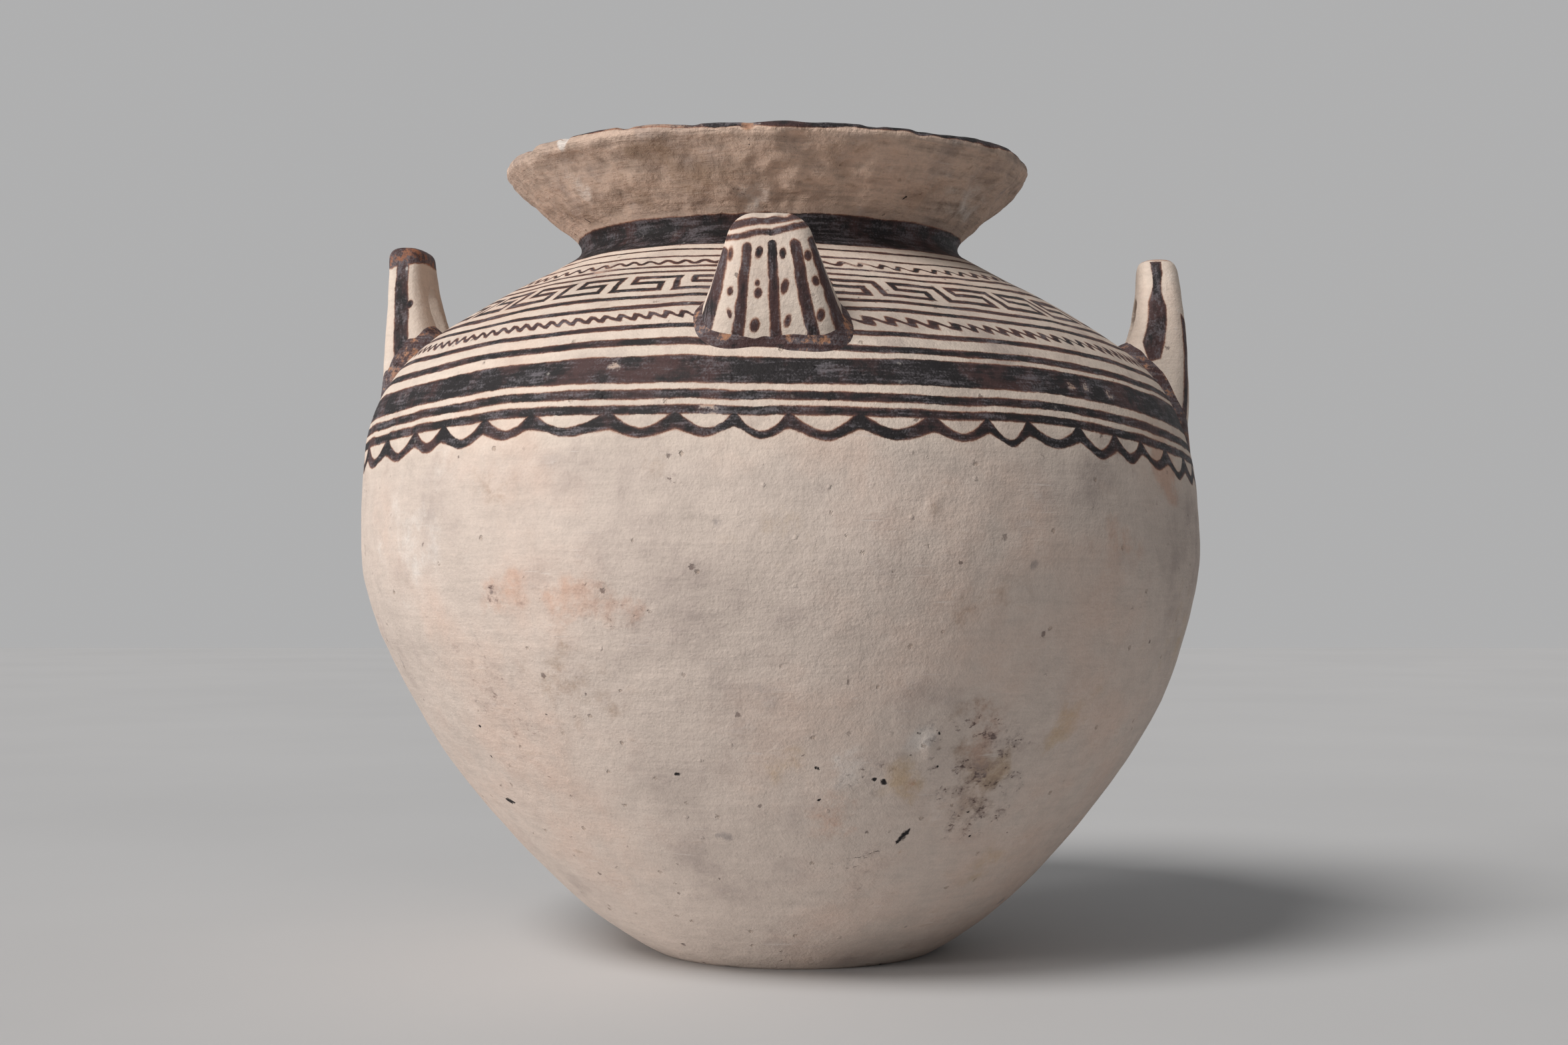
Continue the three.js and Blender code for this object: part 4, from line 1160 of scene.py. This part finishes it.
def clay_ground_group(colours):
    """Slip on clay: mottled colour, specks, wiping marks, scratches, pits and grains."""
    group, sheet, given, made = new_group(
        "slipped_clay", {"Colour": "colour", "Mottle": "value", "Relief": "value"}, COAT)
    here = sheet.position()
    mottle = given["Mottle"]
    cloud = sheet.noise(here, 0.075, 3)
    patch = sheet.noise(here, 0.026, 5, 0.65)
    blotch = sheet.noise(here, 0.0075, 4, 0.65)
    grain = sheet.noise(here, 0.0011, 2, 0.6)
    wiped = sheet.noise(sheet.stretched(here, (0.09, 0.09, 1.0)), 0.0022, 4, 0.6)
    scrape = sheet.noise(sheet.stretched(here, (0.05, 0.05, 0.7)), 0.0012, 1)
    pink = (cloud + 0.6 * patch).ramp(-0.05, 0.32) * mottle * 0.42
    colour = sheet.mix(pink, given["Colour"], colours.pink)
    grey = (patch - 0.7 * cloud + 0.3 * blotch).ramp(-0.02, 0.34) * mottle * 0.58
    colour = sheet.mix(grey, colour, colours.violet)
    light = (blotch + 0.8 * patch + 0.4 * cloud).ramp(0.10, 0.5) * mottle * 0.45
    colour = sheet.mix(light, colour, colours.pale)
    smudge = (patch * 0.7 + blotch + wiped * 0.8 + cloud * 0.6).ramp(0.17, 0.58) * mottle * 0.6
    colour = sheet.mix(smudge, colour, colours.earth)
    tone = 1.0 + (wiped * 0.24 + grain * 0.22 + blotch * 0.32 + patch * 0.34 + cloud * 0.25) * mottle
    colour = sheet.times(tone, colour)
    line = scrape.ramp(0.17, 0.26) * patch.ramp(0.0, 0.15) * mottle
    colour = sheet.mix(line * 0.35, colour, colours.pale)
    gap, pick = sheet.cells(here, 0.0085)
    speck = (gap - pick * 0.9 + grain * 0.25 + blotch * 0.2).ramp(0.07, 0.0) * pick.ramp(0.13, 0.11)
    colour = sheet.mix(speck * 0.6, colour, colours.brown)
    wide_gap, wide_pick = sheet.cells(here, 0.024)
    fleck = (wide_gap - wide_pick * 0.5 + blotch * 0.5).ramp(0.085, -0.02) * wide_pick.ramp(0.17, 0.15)
    colour = sheet.mix(fleck * 0.42, colour, colours.bloom)
    pit_gap, pit_pick = sheet.cells(here, 0.0062)
    near = (pit_gap + grain * 0.3).ramp(0.21, 0.05)
    pits, grains = near * pit_pick.ramp(0.11, 0.09), near * pit_pick.ramp(0.90, 0.93)
    height = wiped * 0.20 + grain * 0.20 + blotch * 0.5 + patch * 1.0 - pits * 0.5 + grains * 0.4
    height = height - speck * 0.15 - line * 0.05
    colour = sheet.mix(pits * 0.4, colour, colours.earth)
    rough = 0.80 + wiped * 0.25 + grain * 0.2
    sheet.give(made, {"Colour": colour, "Height": height * given["Relief"], "Roughness": rough})
    return group


def paint_group(colours):
    """Matt paint where the distance is below 0: streaks, wear, bloom and a rusty edge."""
    group, sheet, given, made = new_group(
        "matt_paint",
        {"Ground": "colour", "Ground Height": "value", "Ground Roughness": "value",
         "Brush Place": "vector", "Distance": "value", "Wear": "value", "Brown": "value"}, COAT)
    here = sheet.position()
    ragged = sheet.noise(here, 0.0035, 3, 0.6)
    fine = sheet.noise(here, 0.0009, 2, 0.6)
    edge = given["Distance"] + ragged * 0.9 + fine * 0.45
    streak = sheet.noise(given["Brush Place"], 0.0016, 4, 0.65)
    patch = sheet.noise(here, 0.02, 4, 0.6)
    blot = sheet.noise(here, 0.006, 3, 0.6)
    mass = sheet.noise(sheet.vector("ADD", here, (0.3, 0.1, 0.2)), 0.013, 4, 0.6)
    worn = streak * 0.5 + blot * 0.8 + patch * 0.6 + fine * 0.4
    wear = given["Wear"]
    bare = (worn + wear).ramp(0.34, 0.58)
    thin = edge.ramp(-1.9, -0.1)
    cover = edge.ramp(0.16, -0.16) * (1.0 - bare * 0.95)
    brown_share = patch * 2.6 + blot * 0.8 + streak * 0.9 + thin * 0.22 + wear + given["Brown"]
    paint = sheet.mix(brown_share.ramp(-0.1, 0.45), colours.black, colours.brown)
    bloom = (blot * 0.6 + streak * 1.7 + mass * 1.1 + fine * 1.1 + wear * 0.6).ramp(-0.04, 0.54) * 0.8
    paint = sheet.mix(bloom, paint, colours.bloom)
    gap, pick = sheet.cells(here, 0.0045)
    fleck = (gap + fine * 0.5).ramp(0.24, 0.05) * pick.ramp(0.13, 0.10) * (mass + blot).ramp(-0.05, 0.25)
    paint = sheet.mix(fleck * 0.65, paint, colours.pale)
    fringe = abs(edge + 0.05).ramp(0.65, 0.05) * (blot + patch).ramp(-0.4, 0.2)
    ground = sheet.mix(fringe * 0.75, given["Ground"], colours.rust)
    rubbed = bare * edge.ramp(0.2, -0.2) * (0.9 - wear).most(0.0).least(0.4)
    ground = sheet.mix(rubbed, ground, colours.rust)
    paint = sheet.mix(fringe * 0.35, paint, colours.rust)
    height = given["Ground Height"] + cover * (0.07 + streak * 0.06)
    rough = given["Ground Roughness"] + cover * (-0.12 + blot * 0.2)
    sheet.give(made, {"Colour": sheet.mix(cover, ground, paint), "Height": height, "Roughness": rough})
    return group


def pit_group():
    """Mask of one ragged pit: 1 in its middle and 0 beyond its radius."""
    group, sheet, given, made = new_group(
        "single_pit", {"Place": "vector", "Centre": "vector", "Radius": "value"}, {"Mask": "value"})
    reach = sheet.vector("DISTANCE", given["Place"], given["Centre"])
    sheet.give(made, {"Mask": (reach / given["Radius"]).ramp(1.0, 0.55)})
    return group


def crack_group():
    """Mask of one crack between two points, widest in its middle."""
    group, sheet, given, made = new_group(
        "short_crack", {"Place": "vector", "Start": "vector", "End": "vector", "Width": "value"},
        {"Mask": "value"})
    run = sheet.vector("SUBTRACT", given["End"], given["Start"])
    here = sheet.vector("SUBTRACT", given["Place"], given["Start"])
    share = sheet.vector("DOT_PRODUCT", here, run) / sheet.vector("DOT_PRODUCT", run, run)
    share = share.most(0.0).least(1.0)
    scaled = sheet.node("VectorMath", {0: run, "Scale": share}, operation="SCALE")
    gap = sheet.vector("DISTANCE", here, scaled.outputs[0])
    taper = 1.0 - (share * 2.0 - 1.0).math("POWER", 2.0) * 0.75
    sheet.give(made, {"Mask": (gap / (taper * given["Width"])).ramp(0.6, 0.25)})
    return group


def new_material(name):
    """An empty material and its sheet."""
    material = bpy.data.materials.new(name)
    material.use_nodes = True
    return material, Sheet(material.node_tree)


def finish_material(material, colour, height, roughness):
    """Joins a coat to the material's own shader. The height is in mm."""
    sheet = Sheet(material.node_tree)
    bump = sheet.node("Bump", {"Strength": 1.0, "Distance": MM, "Height": height})
    shader = material.node_tree.nodes["Principled BSDF"]
    sheet.give(shader.inputs, {"Base Color": colour, "Roughness": roughness,
                               "Normal": bump.outputs[0], "Specular IOR Level": SHINE})


def shared_group(name, make, *inputs):
    """A node group that several materials use, made once."""
    return bpy.data.node_groups.get(name) or make(*inputs)


def slipped(sheet, colours, ground, mottle, relief):
    """Slip or bare clay of a colour: its colour, height and roughness."""
    clay = shared_group("slipped_clay", clay_ground_group, colours)
    slip = sheet.group(clay, {"Colour": ground, "Mottle": mottle, "Relief": relief})
    return [slip.outputs[title] for title in COAT]


def coated(sheet, colours, ground, relief, mottle, brush, distance, wear, brown):
    """Slip and paint one over the other: colour, height and roughness."""
    colour, height, rough = slipped(sheet, colours, ground, mottle, relief)
    paint = shared_group("matt_paint", paint_group, colours)
    coat = sheet.group(paint, {
        "Ground": colour, "Ground Height": height, "Ground Roughness": rough, "Distance": distance,
        "Wear": wear, "Brown": brown, "Brush Place": sheet.stretched(sheet.position(), brush)})
    return [coat.outputs[title] for title in COAT]


def brushwork_distance(sheet):
    """Distance in mm from the nearest painted line of the wall, below 0 under paint."""
    turn, rise = sheet.map_place("paint_place")
    here = sheet.position()
    unsteady = sheet.noise(here, 0.03, 2) * 1.5 + sheet.noise(here, 0.011, 1) * 0.7
    level = rise + unsteady
    press = sheet.noise(here, 0.02, 2) * 0.9
    lines = ((SCALLOP_LINE, SCALLOP_LINE_HALF), *LINES)
    nearest = least_of(abs(level - middle) - half for middle, half in lines)
    (middle, half), (right_middle, right_half) = WIDE_BAND, WIDE_BAND_RIGHT
    right = turn.ramp(*RIGHT_SIDE[0]) * turn.ramp(*RIGHT_SIDE[1])
    band = abs(level - middle - right * (right_middle - middle)) - half - right * (right_half - half)
    nearest = nearest.least(band)
    skip = sheet.noise(here, 0.012, 2)
    for wave, count in zip((LOW_WAVE, HIGH_WAVE), sheet.map_place("wave_place")):
        middle, tall, half, length, slant = wave
        over = level - middle
        phase = (count + skip * 0.5 + over * (slant / (tall * math.tau))) * math.tau
        crest = phase.math("SINE") * tall
        steep = (phase.math("COSINE") * (tall * math.tau / length)).math("POWER", 2.0) + 1.0
        swell = half * (1.0 + 0.3 * phase.math("COSINE")) + press * 0.6
        nearest = nearest.least(abs(over - crest) / steep.math("SQRT") - swell)
    nearest = least_of((nearest, meander_distance(turn, level, skip), scallop_distance(sheet, level)))
    lip_level = rise + sheet.noise(here, 0.022, 3) * 7.0
    lip_low = LIP_LINE + turn.ramp(*LEFT_SIDE[0]) * turn.ramp(*LEFT_SIDE[1]) * LIP_RISE_LEFT
    lip = (lip_low - lip_level).most(lip_level - LIP_END)
    return (nearest - press * 0.8).least(lip)


def meander_distance(turn, level, skip):
    """Distance in mm from the strokes of the meander."""
    tall = MEANDER_HIGH - MEANDER_LOW
    up = (level - MEANDER_LOW) / tall
    along = (turn * MEANDER_UNITS + MEANDER_SHIFT + skip * 0.12 + up * 0.03).math("FRACT")
    strokes = []
    for start, end, low, high in MEANDER_STROKES:
        beside = abs(along - (start + end) / 2) * MEANDER_LENGTH - (end - start) / 2 * MEANDER_LENGTH
        above = abs(up - (low + high) / 2) * tall - (high - low) / 2 * tall
        strokes.append(beside.most(above) - MEANDER_STROKE)
    return least_of(strokes)


def scallop_distance(sheet, level):
    """Distance in mm from the hanging scallops."""
    phase, drop = sheet.map_place("scallop_place")
    off = abs(phase.math("FRACT") * 2.0 - 1.0)
    hang = drop * (off.math("POWER", SCALLOP_BEND) * SCALLOP_RISE - 1.0)
    steep = drop * off.math("POWER", SCALLOP_BEND - 1) * (SCALLOP_RISE * SCALLOP_BEND * 2 / SCALLOP_LENGTH)
    slant = (steep * steep + 1.0).math("SQRT")
    press = sheet.noise(sheet.position(), 0.024, 2) * SCALLOP_PRESS
    stroke = SCALLOP_STROKE + off.math("POWER", 4.0) * SCALLOP_JOINT + press
    return (abs(level - SCALLOP_LINE - hang) / slant - stroke).most(level - SCALLOP_LINE)


def wall_spot(shape, turn, along):
    """Place of a mark on the outside of the pot, by angle and distance up the wall."""
    radius, height = Outline(shape).spot(along * MM)
    way = math.radians(turn)
    spot = lean_over((radius * math.sin(way), -radius * math.cos(way), height), shape)
    return tuple(float(value) for value in spot)


def flaws(sheet, shape):
    """Mask of the single pits and cracks of the wall."""
    here = sheet.position()
    shake = sheet.node("TexNoise", {"Vector": here, "Scale": FLAW_SCALE, "Detail": 3.0}).outputs["Color"]
    shift = sheet.stretched(sheet.vector("SUBTRACT", shake, (0.5, 0.5, 0.5)), FLAW_SHIFT)
    here = sheet.vector("ADD", here, shift)
    pit, crack = shared_group("single_pit", pit_group), shared_group("short_crack", crack_group)
    marks = []
    for turn, along, radius in PITS:
        centre = wall_spot(shape, turn, along)
        marks.append(sheet.group(pit, {"Place": here, "Centre": centre, "Radius": radius * MM}))
    for turn, along, end_turn, end_along, width in CRACKS:
        start, end = wall_spot(shape, turn, along), wall_spot(shape, end_turn, end_along)
        ends = {"Place": here, "Start": start, "End": end, "Width": width * MM}
        marks.append(sheet.group(crack, ends))
    return functools.reduce(Signal.most, (sheet.signal(mark.outputs["Mask"]) for mark in marks))


def wall_material(colours, shape):
    """Slip with painted lines, stains, pits and cracks for the outside of the pot."""
    material, sheet = new_material("painted_wall")
    here = sheet.position()
    _, rise = sheet.map_place("paint_place")
    level = rise + sheet.noise(here, 0.03, 3) * 14
    ground = sheet.mix(level.ramp(*CREAM_EDGE), colours.beige, colours.cream)
    ground = sheet.mix(level.ramp(*TAN_EDGE), ground, colours.tan)
    torn = sheet.noise(here, 0.007, 5, 0.68)
    dust = sheet.noise(here, 0.0018, 2, 0.6)
    uneven = sheet.noise(here, 0.018, 3, 0.6)
    funnel = level.ramp(*FUNNEL_EDGE)
    brush = sheet.noise(sheet.stretched(here, (0.07, 0.07, 1.0)), 0.0042, 5, 0.68)
    ground = sheet.times(1.0 + (brush * 1.9 + torn * 1.3) * funnel, ground)
    fold = sheet.noise(here, 0.02, 3, 0.6)
    smear = (brush + torn * 0.8).ramp(0.04, 0.34) * funnel * 0.85
    ground = sheet.mix(smear, ground, colours.earth)
    for kind in ("ochre", "earth", "pink", "pale"):
        stain = sheet.share("stain_" + kind)
        share = (stain * 1.2 + uneven * 1.6 + torn * 1.4 + dust * 0.5).ramp(0.12, 1.05)
        share = share * (stain * 2.5).least(0.85)
        ground = sheet.mix(share, ground, getattr(colours, kind))
    # The violet share is a grey-violet deposit, and at the lower left a wide patch of painted shade.
    soil_and_shade = sheet.share("stain_violet")
    share = soil_and_shade * (torn + dust * 0.5 + uneven * 0.4).ramp(-0.06, 0.26) * 0.9
    ground = sheet.mix(share, ground, colours.violet)
    scratch = sheet.noise(sheet.stretched(here, (0.5, 0.5, 1.0)), 0.0016, 3, 0.7)
    specks = (scratch + torn * 0.9 + soil_and_shade * 0.07).ramp(0.16, 0.26) * (soil_and_shade * 1.6).least(1.0)
    ground = sheet.mix(specks * 0.8, ground, colours.brown)
    chip = (sheet.share("stain_clay") + torn * 0.5).ramp(0.12, 0.75)
    ground = sheet.mix(chip, ground, colours.clay)
    wear = sheet.share("stain_worn") * 0.5 + sheet.share("stain_clay") + sheet.share("stain_pale") * 0.4
    # Paint round the neck is lightened: partly bloom and wear, partly painted light that lifts the shade
    # under the funnel.
    wear = wear + rise.ramp(*NECK_LOW_EDGE) * rise.ramp(*NECK_HIGH_EDGE) * 0.09
    brown = abs(rise - LOW_WAVE[0]).ramp(7.0, 4.0) * 0.25
    colour, height, rough = coated(
        sheet, colours, ground, 1.0, 1.0, LEVEL_STROKES, brushwork_distance(sheet), wear, brown)
    mask = flaws(sheet, shape)
    colour = sheet.mix(mask, colour, colours.black)
    relief = sheet.signal(height) - mask * 0.7 + (brush * 1.5 + torn * 1.9 + fold * 4.0) * funnel
    finish_material(material, colour, relief, rough)
    return material


def inside_material(colours):
    """Bare clay for the inside of the pot."""
    material, sheet = new_material("bare_clay_inside")
    finish_material(material, *slipped(sheet, colours, colours.clay, 1.0, 1.6))
    return material


def lug_place(sheet):
    """Place in depth, across and down on a handle or tab."""
    node = sheet.node("Attribute", attribute_name="lug_place")
    split = sheet.node("SeparateXYZ", {0: node.outputs["Vector"]})
    return [sheet.signal(output) for output in split.outputs]


def lug_material(name, colours, distance, cap=None):
    """Cream slip with painted stripes for handles and tabs, and a worn cap for a handle."""
    material, sheet = new_material(name)
    _, _, down = lug_place(sheet)
    torn = sheet.noise(sheet.position(), 0.006, 4, 0.65)
    wear = 0.03 + (0.12 - down).ramp(-0.02, 0.05) * 0.10
    ground = sheet.mix(torn.ramp(0.05, 0.3) * 0.5, colours.cream, colours.pale)
    if cap:
        worn_cap = (cap - down + torn * 0.06).ramp(-0.01, 0.02)
        ground = sheet.mix(worn_cap, ground, colours.rust)
        wear = wear + worn_cap * (0.19 + torn * 1.2)
    coat = coated(sheet, colours, ground, 0.9, 0.8, UPRIGHT_STROKES, distance(sheet), wear, 0.2)
    finish_material(material, *coat)
    return material


def off_face(depth, edge):
    """Distance in mm from a lug's outer face, below 0 on the face."""
    return (edge - depth) * FACE_DEPTH


def off_ends(across):
    """Distance in mm from the ends of a handle, below 0 on them."""
    return (END_EDGE - abs(across)) * END_WIDTH


def tab_distance(sheet):
    """Distance in mm from the stripes, slanted bands and dots of a tab's outer face."""
    depth, across, down = lug_place(sheet)
    here = sheet.position()
    shake = sheet.noise(here, 0.012, 2)
    half_width = TAB_HALF + down * TAB_WIDENS
    side = across + shake * 0.10
    strokes = []
    for middle, half, top in TAB_STRIPES:
        beside = (side - middle) * half_width
        above = ((top - down) * TAB_TALL + half).most(0.0)
        reach = (beside * beside + above * above).math("SQRT")
        strokes.append(reach - half * (0.78 + 0.3 * (down + shake)))
    for middle, slope, half in TAB_BANDS:
        strokes.append(abs(down + shake * 0.05 - middle - across * slope) * TAB_TALL - half)
    for x, y, wide, high, tilt in TAB_DOTS:
        dx = (across - x) * half_width
        dy = (y - down) * TAB_TALL
        turned_x = dx * math.cos(tilt) - dy * math.sin(tilt)
        turned_y = dx * math.sin(tilt) + dy * math.cos(tilt)
        squares = (turned_x / wide).math("POWER", 2.0) + (turned_y / high).math("POWER", 2.0)
        strokes.append((squares.math("SQRT") - 1.0) * min(wide, high) + shake * 0.8)
    return least_of(strokes).most(off_face(depth, 0.15))


def left_handle_distance(sheet):
    """Distance in mm from the cap, the stripes and the blots of the left handle."""
    depth, across, down = lug_place(sheet)
    shake = sheet.noise(sheet.position(), 0.014, 2)
    half_depth, half_width = HANDLE_DEPTH + down * 6.0, HANDLE_HALF + down * HANDLE_WIDENS
    swell = 2.6 + 1.2 * (down * math.pi).math("SINE").most(0.0)
    ends = abs(depth + shake * 0.2 - down * 0.14 + 0.02) * half_depth - swell
    beside, above = (depth + 0.29) * half_depth, (down - 0.50) * HANDLE_TALL
    blot = (beside * beside + above * above).math("SQRT") - 1.9 + shake * 2.0
    ends = ends.least(blot).most(off_ends(across))
    faces = (abs(abs(across) - 0.5 + shake * 0.1) * half_width - 2.0).most(off_face(depth, 0.6))
    stripes = ends.least(faces).most((down - 0.97) * HANDLE_TALL)
    return stripes.least((down - 0.155 + shake * 0.07) * HANDLE_TALL)


def right_handle_distance(sheet):
    """Distance in mm from the stripes of the right handle."""
    depth, across, down = lug_place(sheet)
    shake = sheet.noise(sheet.position(), 0.014, 2)
    half_depth, half_width = HANDLE_DEPTH + down * 5.0, HANDLE_HALF + down * HANDLE_WIDENS
    swell = 2.4 - 0.6 * down.ramp(0.05, 0.2) + 1.9 * down.ramp(0.2, 0.42)
    swell = swell.least((0.93 - down) * 30.0)
    ends = abs(depth + shake * 0.2 + down * 0.20 + 0.16) * half_depth - swell
    ends = ends.most(off_ends(across))
    faces = (abs(abs(across) - 0.84 + shake * 0.1) * half_width - 2.6).most(off_face(depth, 0.72))
    faces = faces.most((0.34 - down + shake * 0.1) * HANDLE_TALL)
    middle = (abs(across + shake * 0.1) * half_width - 2.0).most(off_face(depth, 0.6))
    stripes = least_of((ends, faces, middle)).most((down - 0.95) * HANDLE_TALL)
    return stripes.most((0.03 - down) * HANDLE_TALL)


def coil_material(colours):
    """Worn brown paint over the smeared luting coils."""
    material, sheet = new_material("worn_coil")
    place = sheet.share("coil_place")
    here = sheet.position()
    shake = sheet.noise(here, 0.009, 4, 0.65)
    torn = sheet.noise(here, 0.005, 4, 0.65)
    clay = sheet.mix((torn + shake).ramp(-0.12, 0.2), colours.rust, colours.clay)
    clay = sheet.mix((torn - shake * 0.5).ramp(0.12, 0.3), clay, colours.pale)
    ground = sheet.mix((place + shake * 0.3).ramp(0.94, 1.02), clay, colours.cream)
    distance = (place + shake * 0.35 - 0.99) * 7.0
    wear = 0.30 + shake * 1.5 + torn * 0.6
    coat = coated(sheet, colours, ground, 1.8, 0.8, LEVEL_STROKES, distance, wear, 0.35)
    finish_material(material, *coat)
    return material


class KRATER_OT_wall(bpy.types.Operator):
    """Builds the base disc, the rings of wall, the collar, the funnel and the lip"""

    bl_idname = "krater.wall"
    bl_label = "Rings of wall"

    def execute(self, context):
        colours = context.scene.krater_colours
        wall = Wall(context.scene.krater_shape)
        painted = wall_material(colours, context.scene.krater_shape)
        bare = inside_material(colours)
        for node, (slot, *_) in RINGS.items():
            mesh = wall.ring_mesh(node)
            add_piece(node, mesh, slot, painted, bare)
            if node not in PAINTED_INSIDE:
                self.bare_inside(mesh, wall.outline.end / MM + INNER_EDGE)
        return {"FINISHED"}

    def bare_inside(self, mesh, edge):
        """Gives the second material to the faces that lie beyond a distance over the lip, in mm."""
        marks = np.zeros(len(mesh.loops) * 2, np.float32)
        mesh.uv_layers["paint_place"].uv.foreach_get("vector", marks)
        starts = np.zeros(len(mesh.polygons), np.int32)
        mesh.polygons.foreach_get("loop_start", starts)
        inside = marks.reshape(-1, 2)[starts, 1] > edge
        mesh.polygons.foreach_set("material_index", inside.astype(np.int32))


class KRATER_OT_handles(bpy.types.Operator):
    """Builds the two stirrup handles"""

    bl_idname = "krater.handles"
    bl_label = "Stirrup handles"

    def execute(self, context):
        colours = context.scene.krater_colours
        lugs = all_lugs(context.scene)
        brushwork = {"left_handle": left_handle_distance, "right_handle": right_handle_distance}
        for name, distance in brushwork.items():
            mesh = lugs[name].mesh()
            striped = lug_material(name + "_stripes", colours, distance, WORN_CAPS[name])
            add_piece(name, mesh, "cream_slip", striped)
        return {"FINISHED"}


class KRATER_OT_tabs(bpy.types.Operator):
    """Builds the two striped tabs"""

    bl_idname = "krater.tabs"
    bl_label = "Striped tabs"

    def execute(self, context):
        colours = context.scene.krater_colours
        lugs = all_lugs(context.scene)
        material = lug_material("tab_stripes", colours, tab_distance)
        for name, chips in CHIPS.items():
            add_piece(name, lugs[name].mesh(chips), "cream_slip", material)
        return {"FINISHED"}


class KRATER_OT_coils(bpy.types.Operator):
    """Builds the luting coils round the roots"""

    bl_idname = "krater.coils"
    bl_label = "Luting coils"

    COILS = {"left_handle": {"left_handle_rear_coil": -1, "left_handle_front_coil": 1},
             "right_handle": {"right_handle_front_coil": -1, "right_handle_rear_coil": 1},
             "front_tab": {"front_tab_coil": 0}, "rear_tab": {"rear_tab_coil": 0}}

    def execute(self, context):
        lugs = all_lugs(context.scene)
        material = coil_material(context.scene.krater_colours)
        for lug, coils in self.COILS.items():
            for name, side in coils.items():
                add_piece(name, lugs[lug].coil_mesh(name, side), "worn_paint", material)
        return {"FINISHED"}


class KRATER_OT_stage(bpy.types.Operator):
    """Sets up the floor, the lamps, the room's light and the camera"""

    bl_idname = "krater.stage"
    bl_label = "Studio"

    def execute(self, context):
        scene = context.scene
        stage, colours = scene.krater_stage, scene.krater_colours
        self.floor(scene, colours)
        self.lamp(scene, "key_light", stage.key, stage.key_softness, KEY_PLACE)
        self.lamp(scene, "fill_light", stage.fill, stage.fill_softness, FILL_PLACE)
        self.room(scene, stage)
        self.camera(scene, stage)
        scene.view_settings.view_transform = "Standard"
        return {"FINISHED"}

    def floor(self, scene, colours):
        """Lays the pale floor."""
        mesh = bpy.data.meshes.new("studio_floor")
        corners = [(x * FLOOR_HALF, y * FLOOR_HALF, 0) for x, y in ((-1, -1), (1, -1), (1, 1), (-1, 1))]
        mesh.from_pydata(corners, [], [(0, 1, 2, 3)])
        material, sheet = new_material("studio_floor")
        cloud = sheet.noise(sheet.position(), 0.4, 3)
        shade = sheet.mix(cloud.ramp(-0.3, 0.3), colours.floor, FLOOR_TONE)
        shader = material.node_tree.nodes["Principled BSDF"]
        sheet.give(shader.inputs, {"Base Color": shade, "Roughness": FLOOR_ROUGHNESS})
        mesh.materials.append(material)
        floor = bpy.data.objects.new("studio_floor", mesh)
        scene.collection.objects.link(floor)

    def lamp(self, scene, name, strength, softness, place):
        """Hangs a lamp that is aimed at the pot's belly."""
        data = bpy.data.lights.new(name, "SUN")
        data.energy, data.angle, data.color = strength, softness, LAMP_COLOUR
        lamp = bpy.data.objects.new(name, data)
        lamp.location = place
        lamp.rotation_euler = (Vector(AIM) - Vector(place)).to_track_quat("-Z", "Y").to_euler()
        scene.collection.objects.link(lamp)

    def room(self, scene, stage):
        """Lights the room, and shows a plain grey one."""
        world = bpy.data.worlds.new("studio_room")
        world.use_nodes = True
        scene.world = world
        sheet, nodes = Sheet(world.node_tree), world.node_tree.nodes
        light = nodes["Background"]
        sheet.give(light.inputs, {"Color": (1, 1, 1, 1), "Strength": stage.room})
        seen = sheet.node("Background", {"Color": SEEN_ROOM})
        path = sheet.node("LightPath").outputs
        looks = [sheet.signal(path[f"Is {kind} Ray"]) for kind in ("Camera", "Glossy", "Transmission")]
        share = functools.reduce(Signal.most, looks)
        choice = sheet.node("MixShader", {0: share, 1: light.outputs[0], 2: seen.outputs[0]})
        sheet.give(nodes["World Output"].inputs, {"Surface": choice.outputs[0]})

    def camera(self, scene, stage):
        """Sets the level camera in front of the pot."""
        data = bpy.data.cameras.new("photo_camera")
        data.sensor_width, data.lens, data.shift_y = SENSOR, LENS, SHIFT
        camera = bpy.data.objects.new("photo_camera", data)
        camera.location = (CAMERA_RIGHT, -stage.distance, stage.eye)
        camera.rotation_euler = (math.pi / 2, 0, 0)
        scene.collection.objects.link(camera)
        scene.camera = camera


class KRATER_PT_sidebar(bpy.types.Panel):
    """Lists the krater's settings and the steps that build it"""

    bl_idname = "KRATER_PT_sidebar"
    bl_label = "Funnel krater"
    bl_space_type = "VIEW_3D"
    bl_region_type = "UI"
    bl_category = "Krater"

    def draw(self, context):
        for group in (context.scene.krater_shape, context.scene.krater_lugs,
                      context.scene.krater_colours, context.scene.krater_stage):
            box = self.layout.box()
            for key in group.bl_rna.properties.keys():
                if key not in ("rna_type", "name"):
                    box.prop(group, key)
        for step in STEPS:
            self.layout.operator(step.bl_idname)


STEPS = (KRATER_OT_wall, KRATER_OT_handles, KRATER_OT_tabs, KRATER_OT_coils, KRATER_OT_stage)
GROUPS = {"krater_shape": KraterShape, "krater_lugs": KraterLugs,
          "krater_colours": KraterColours, "krater_stage": KraterStage}


def register():
    for item in (*GROUPS.values(), *STEPS, KRATER_PT_sidebar):
        bpy.utils.register_class(item)
    for name, group in GROUPS.items():
        setattr(bpy.types.Scene, name, PointerProperty(type=group))


def unregister():
    for name in GROUPS:
        delattr(bpy.types.Scene, name)
    for item in reversed((*GROUPS.values(), *STEPS, KRATER_PT_sidebar)):
        bpy.utils.unregister_class(item)


def main():
    register()
    bpy.ops.krater.wall()
    bpy.ops.krater.handles()
    bpy.ops.krater.tabs()
    bpy.ops.krater.coils()
    bpy.ops.krater.stage()
    bpy.context.view_layer.update()


if __name__ == "__main__":
    main()
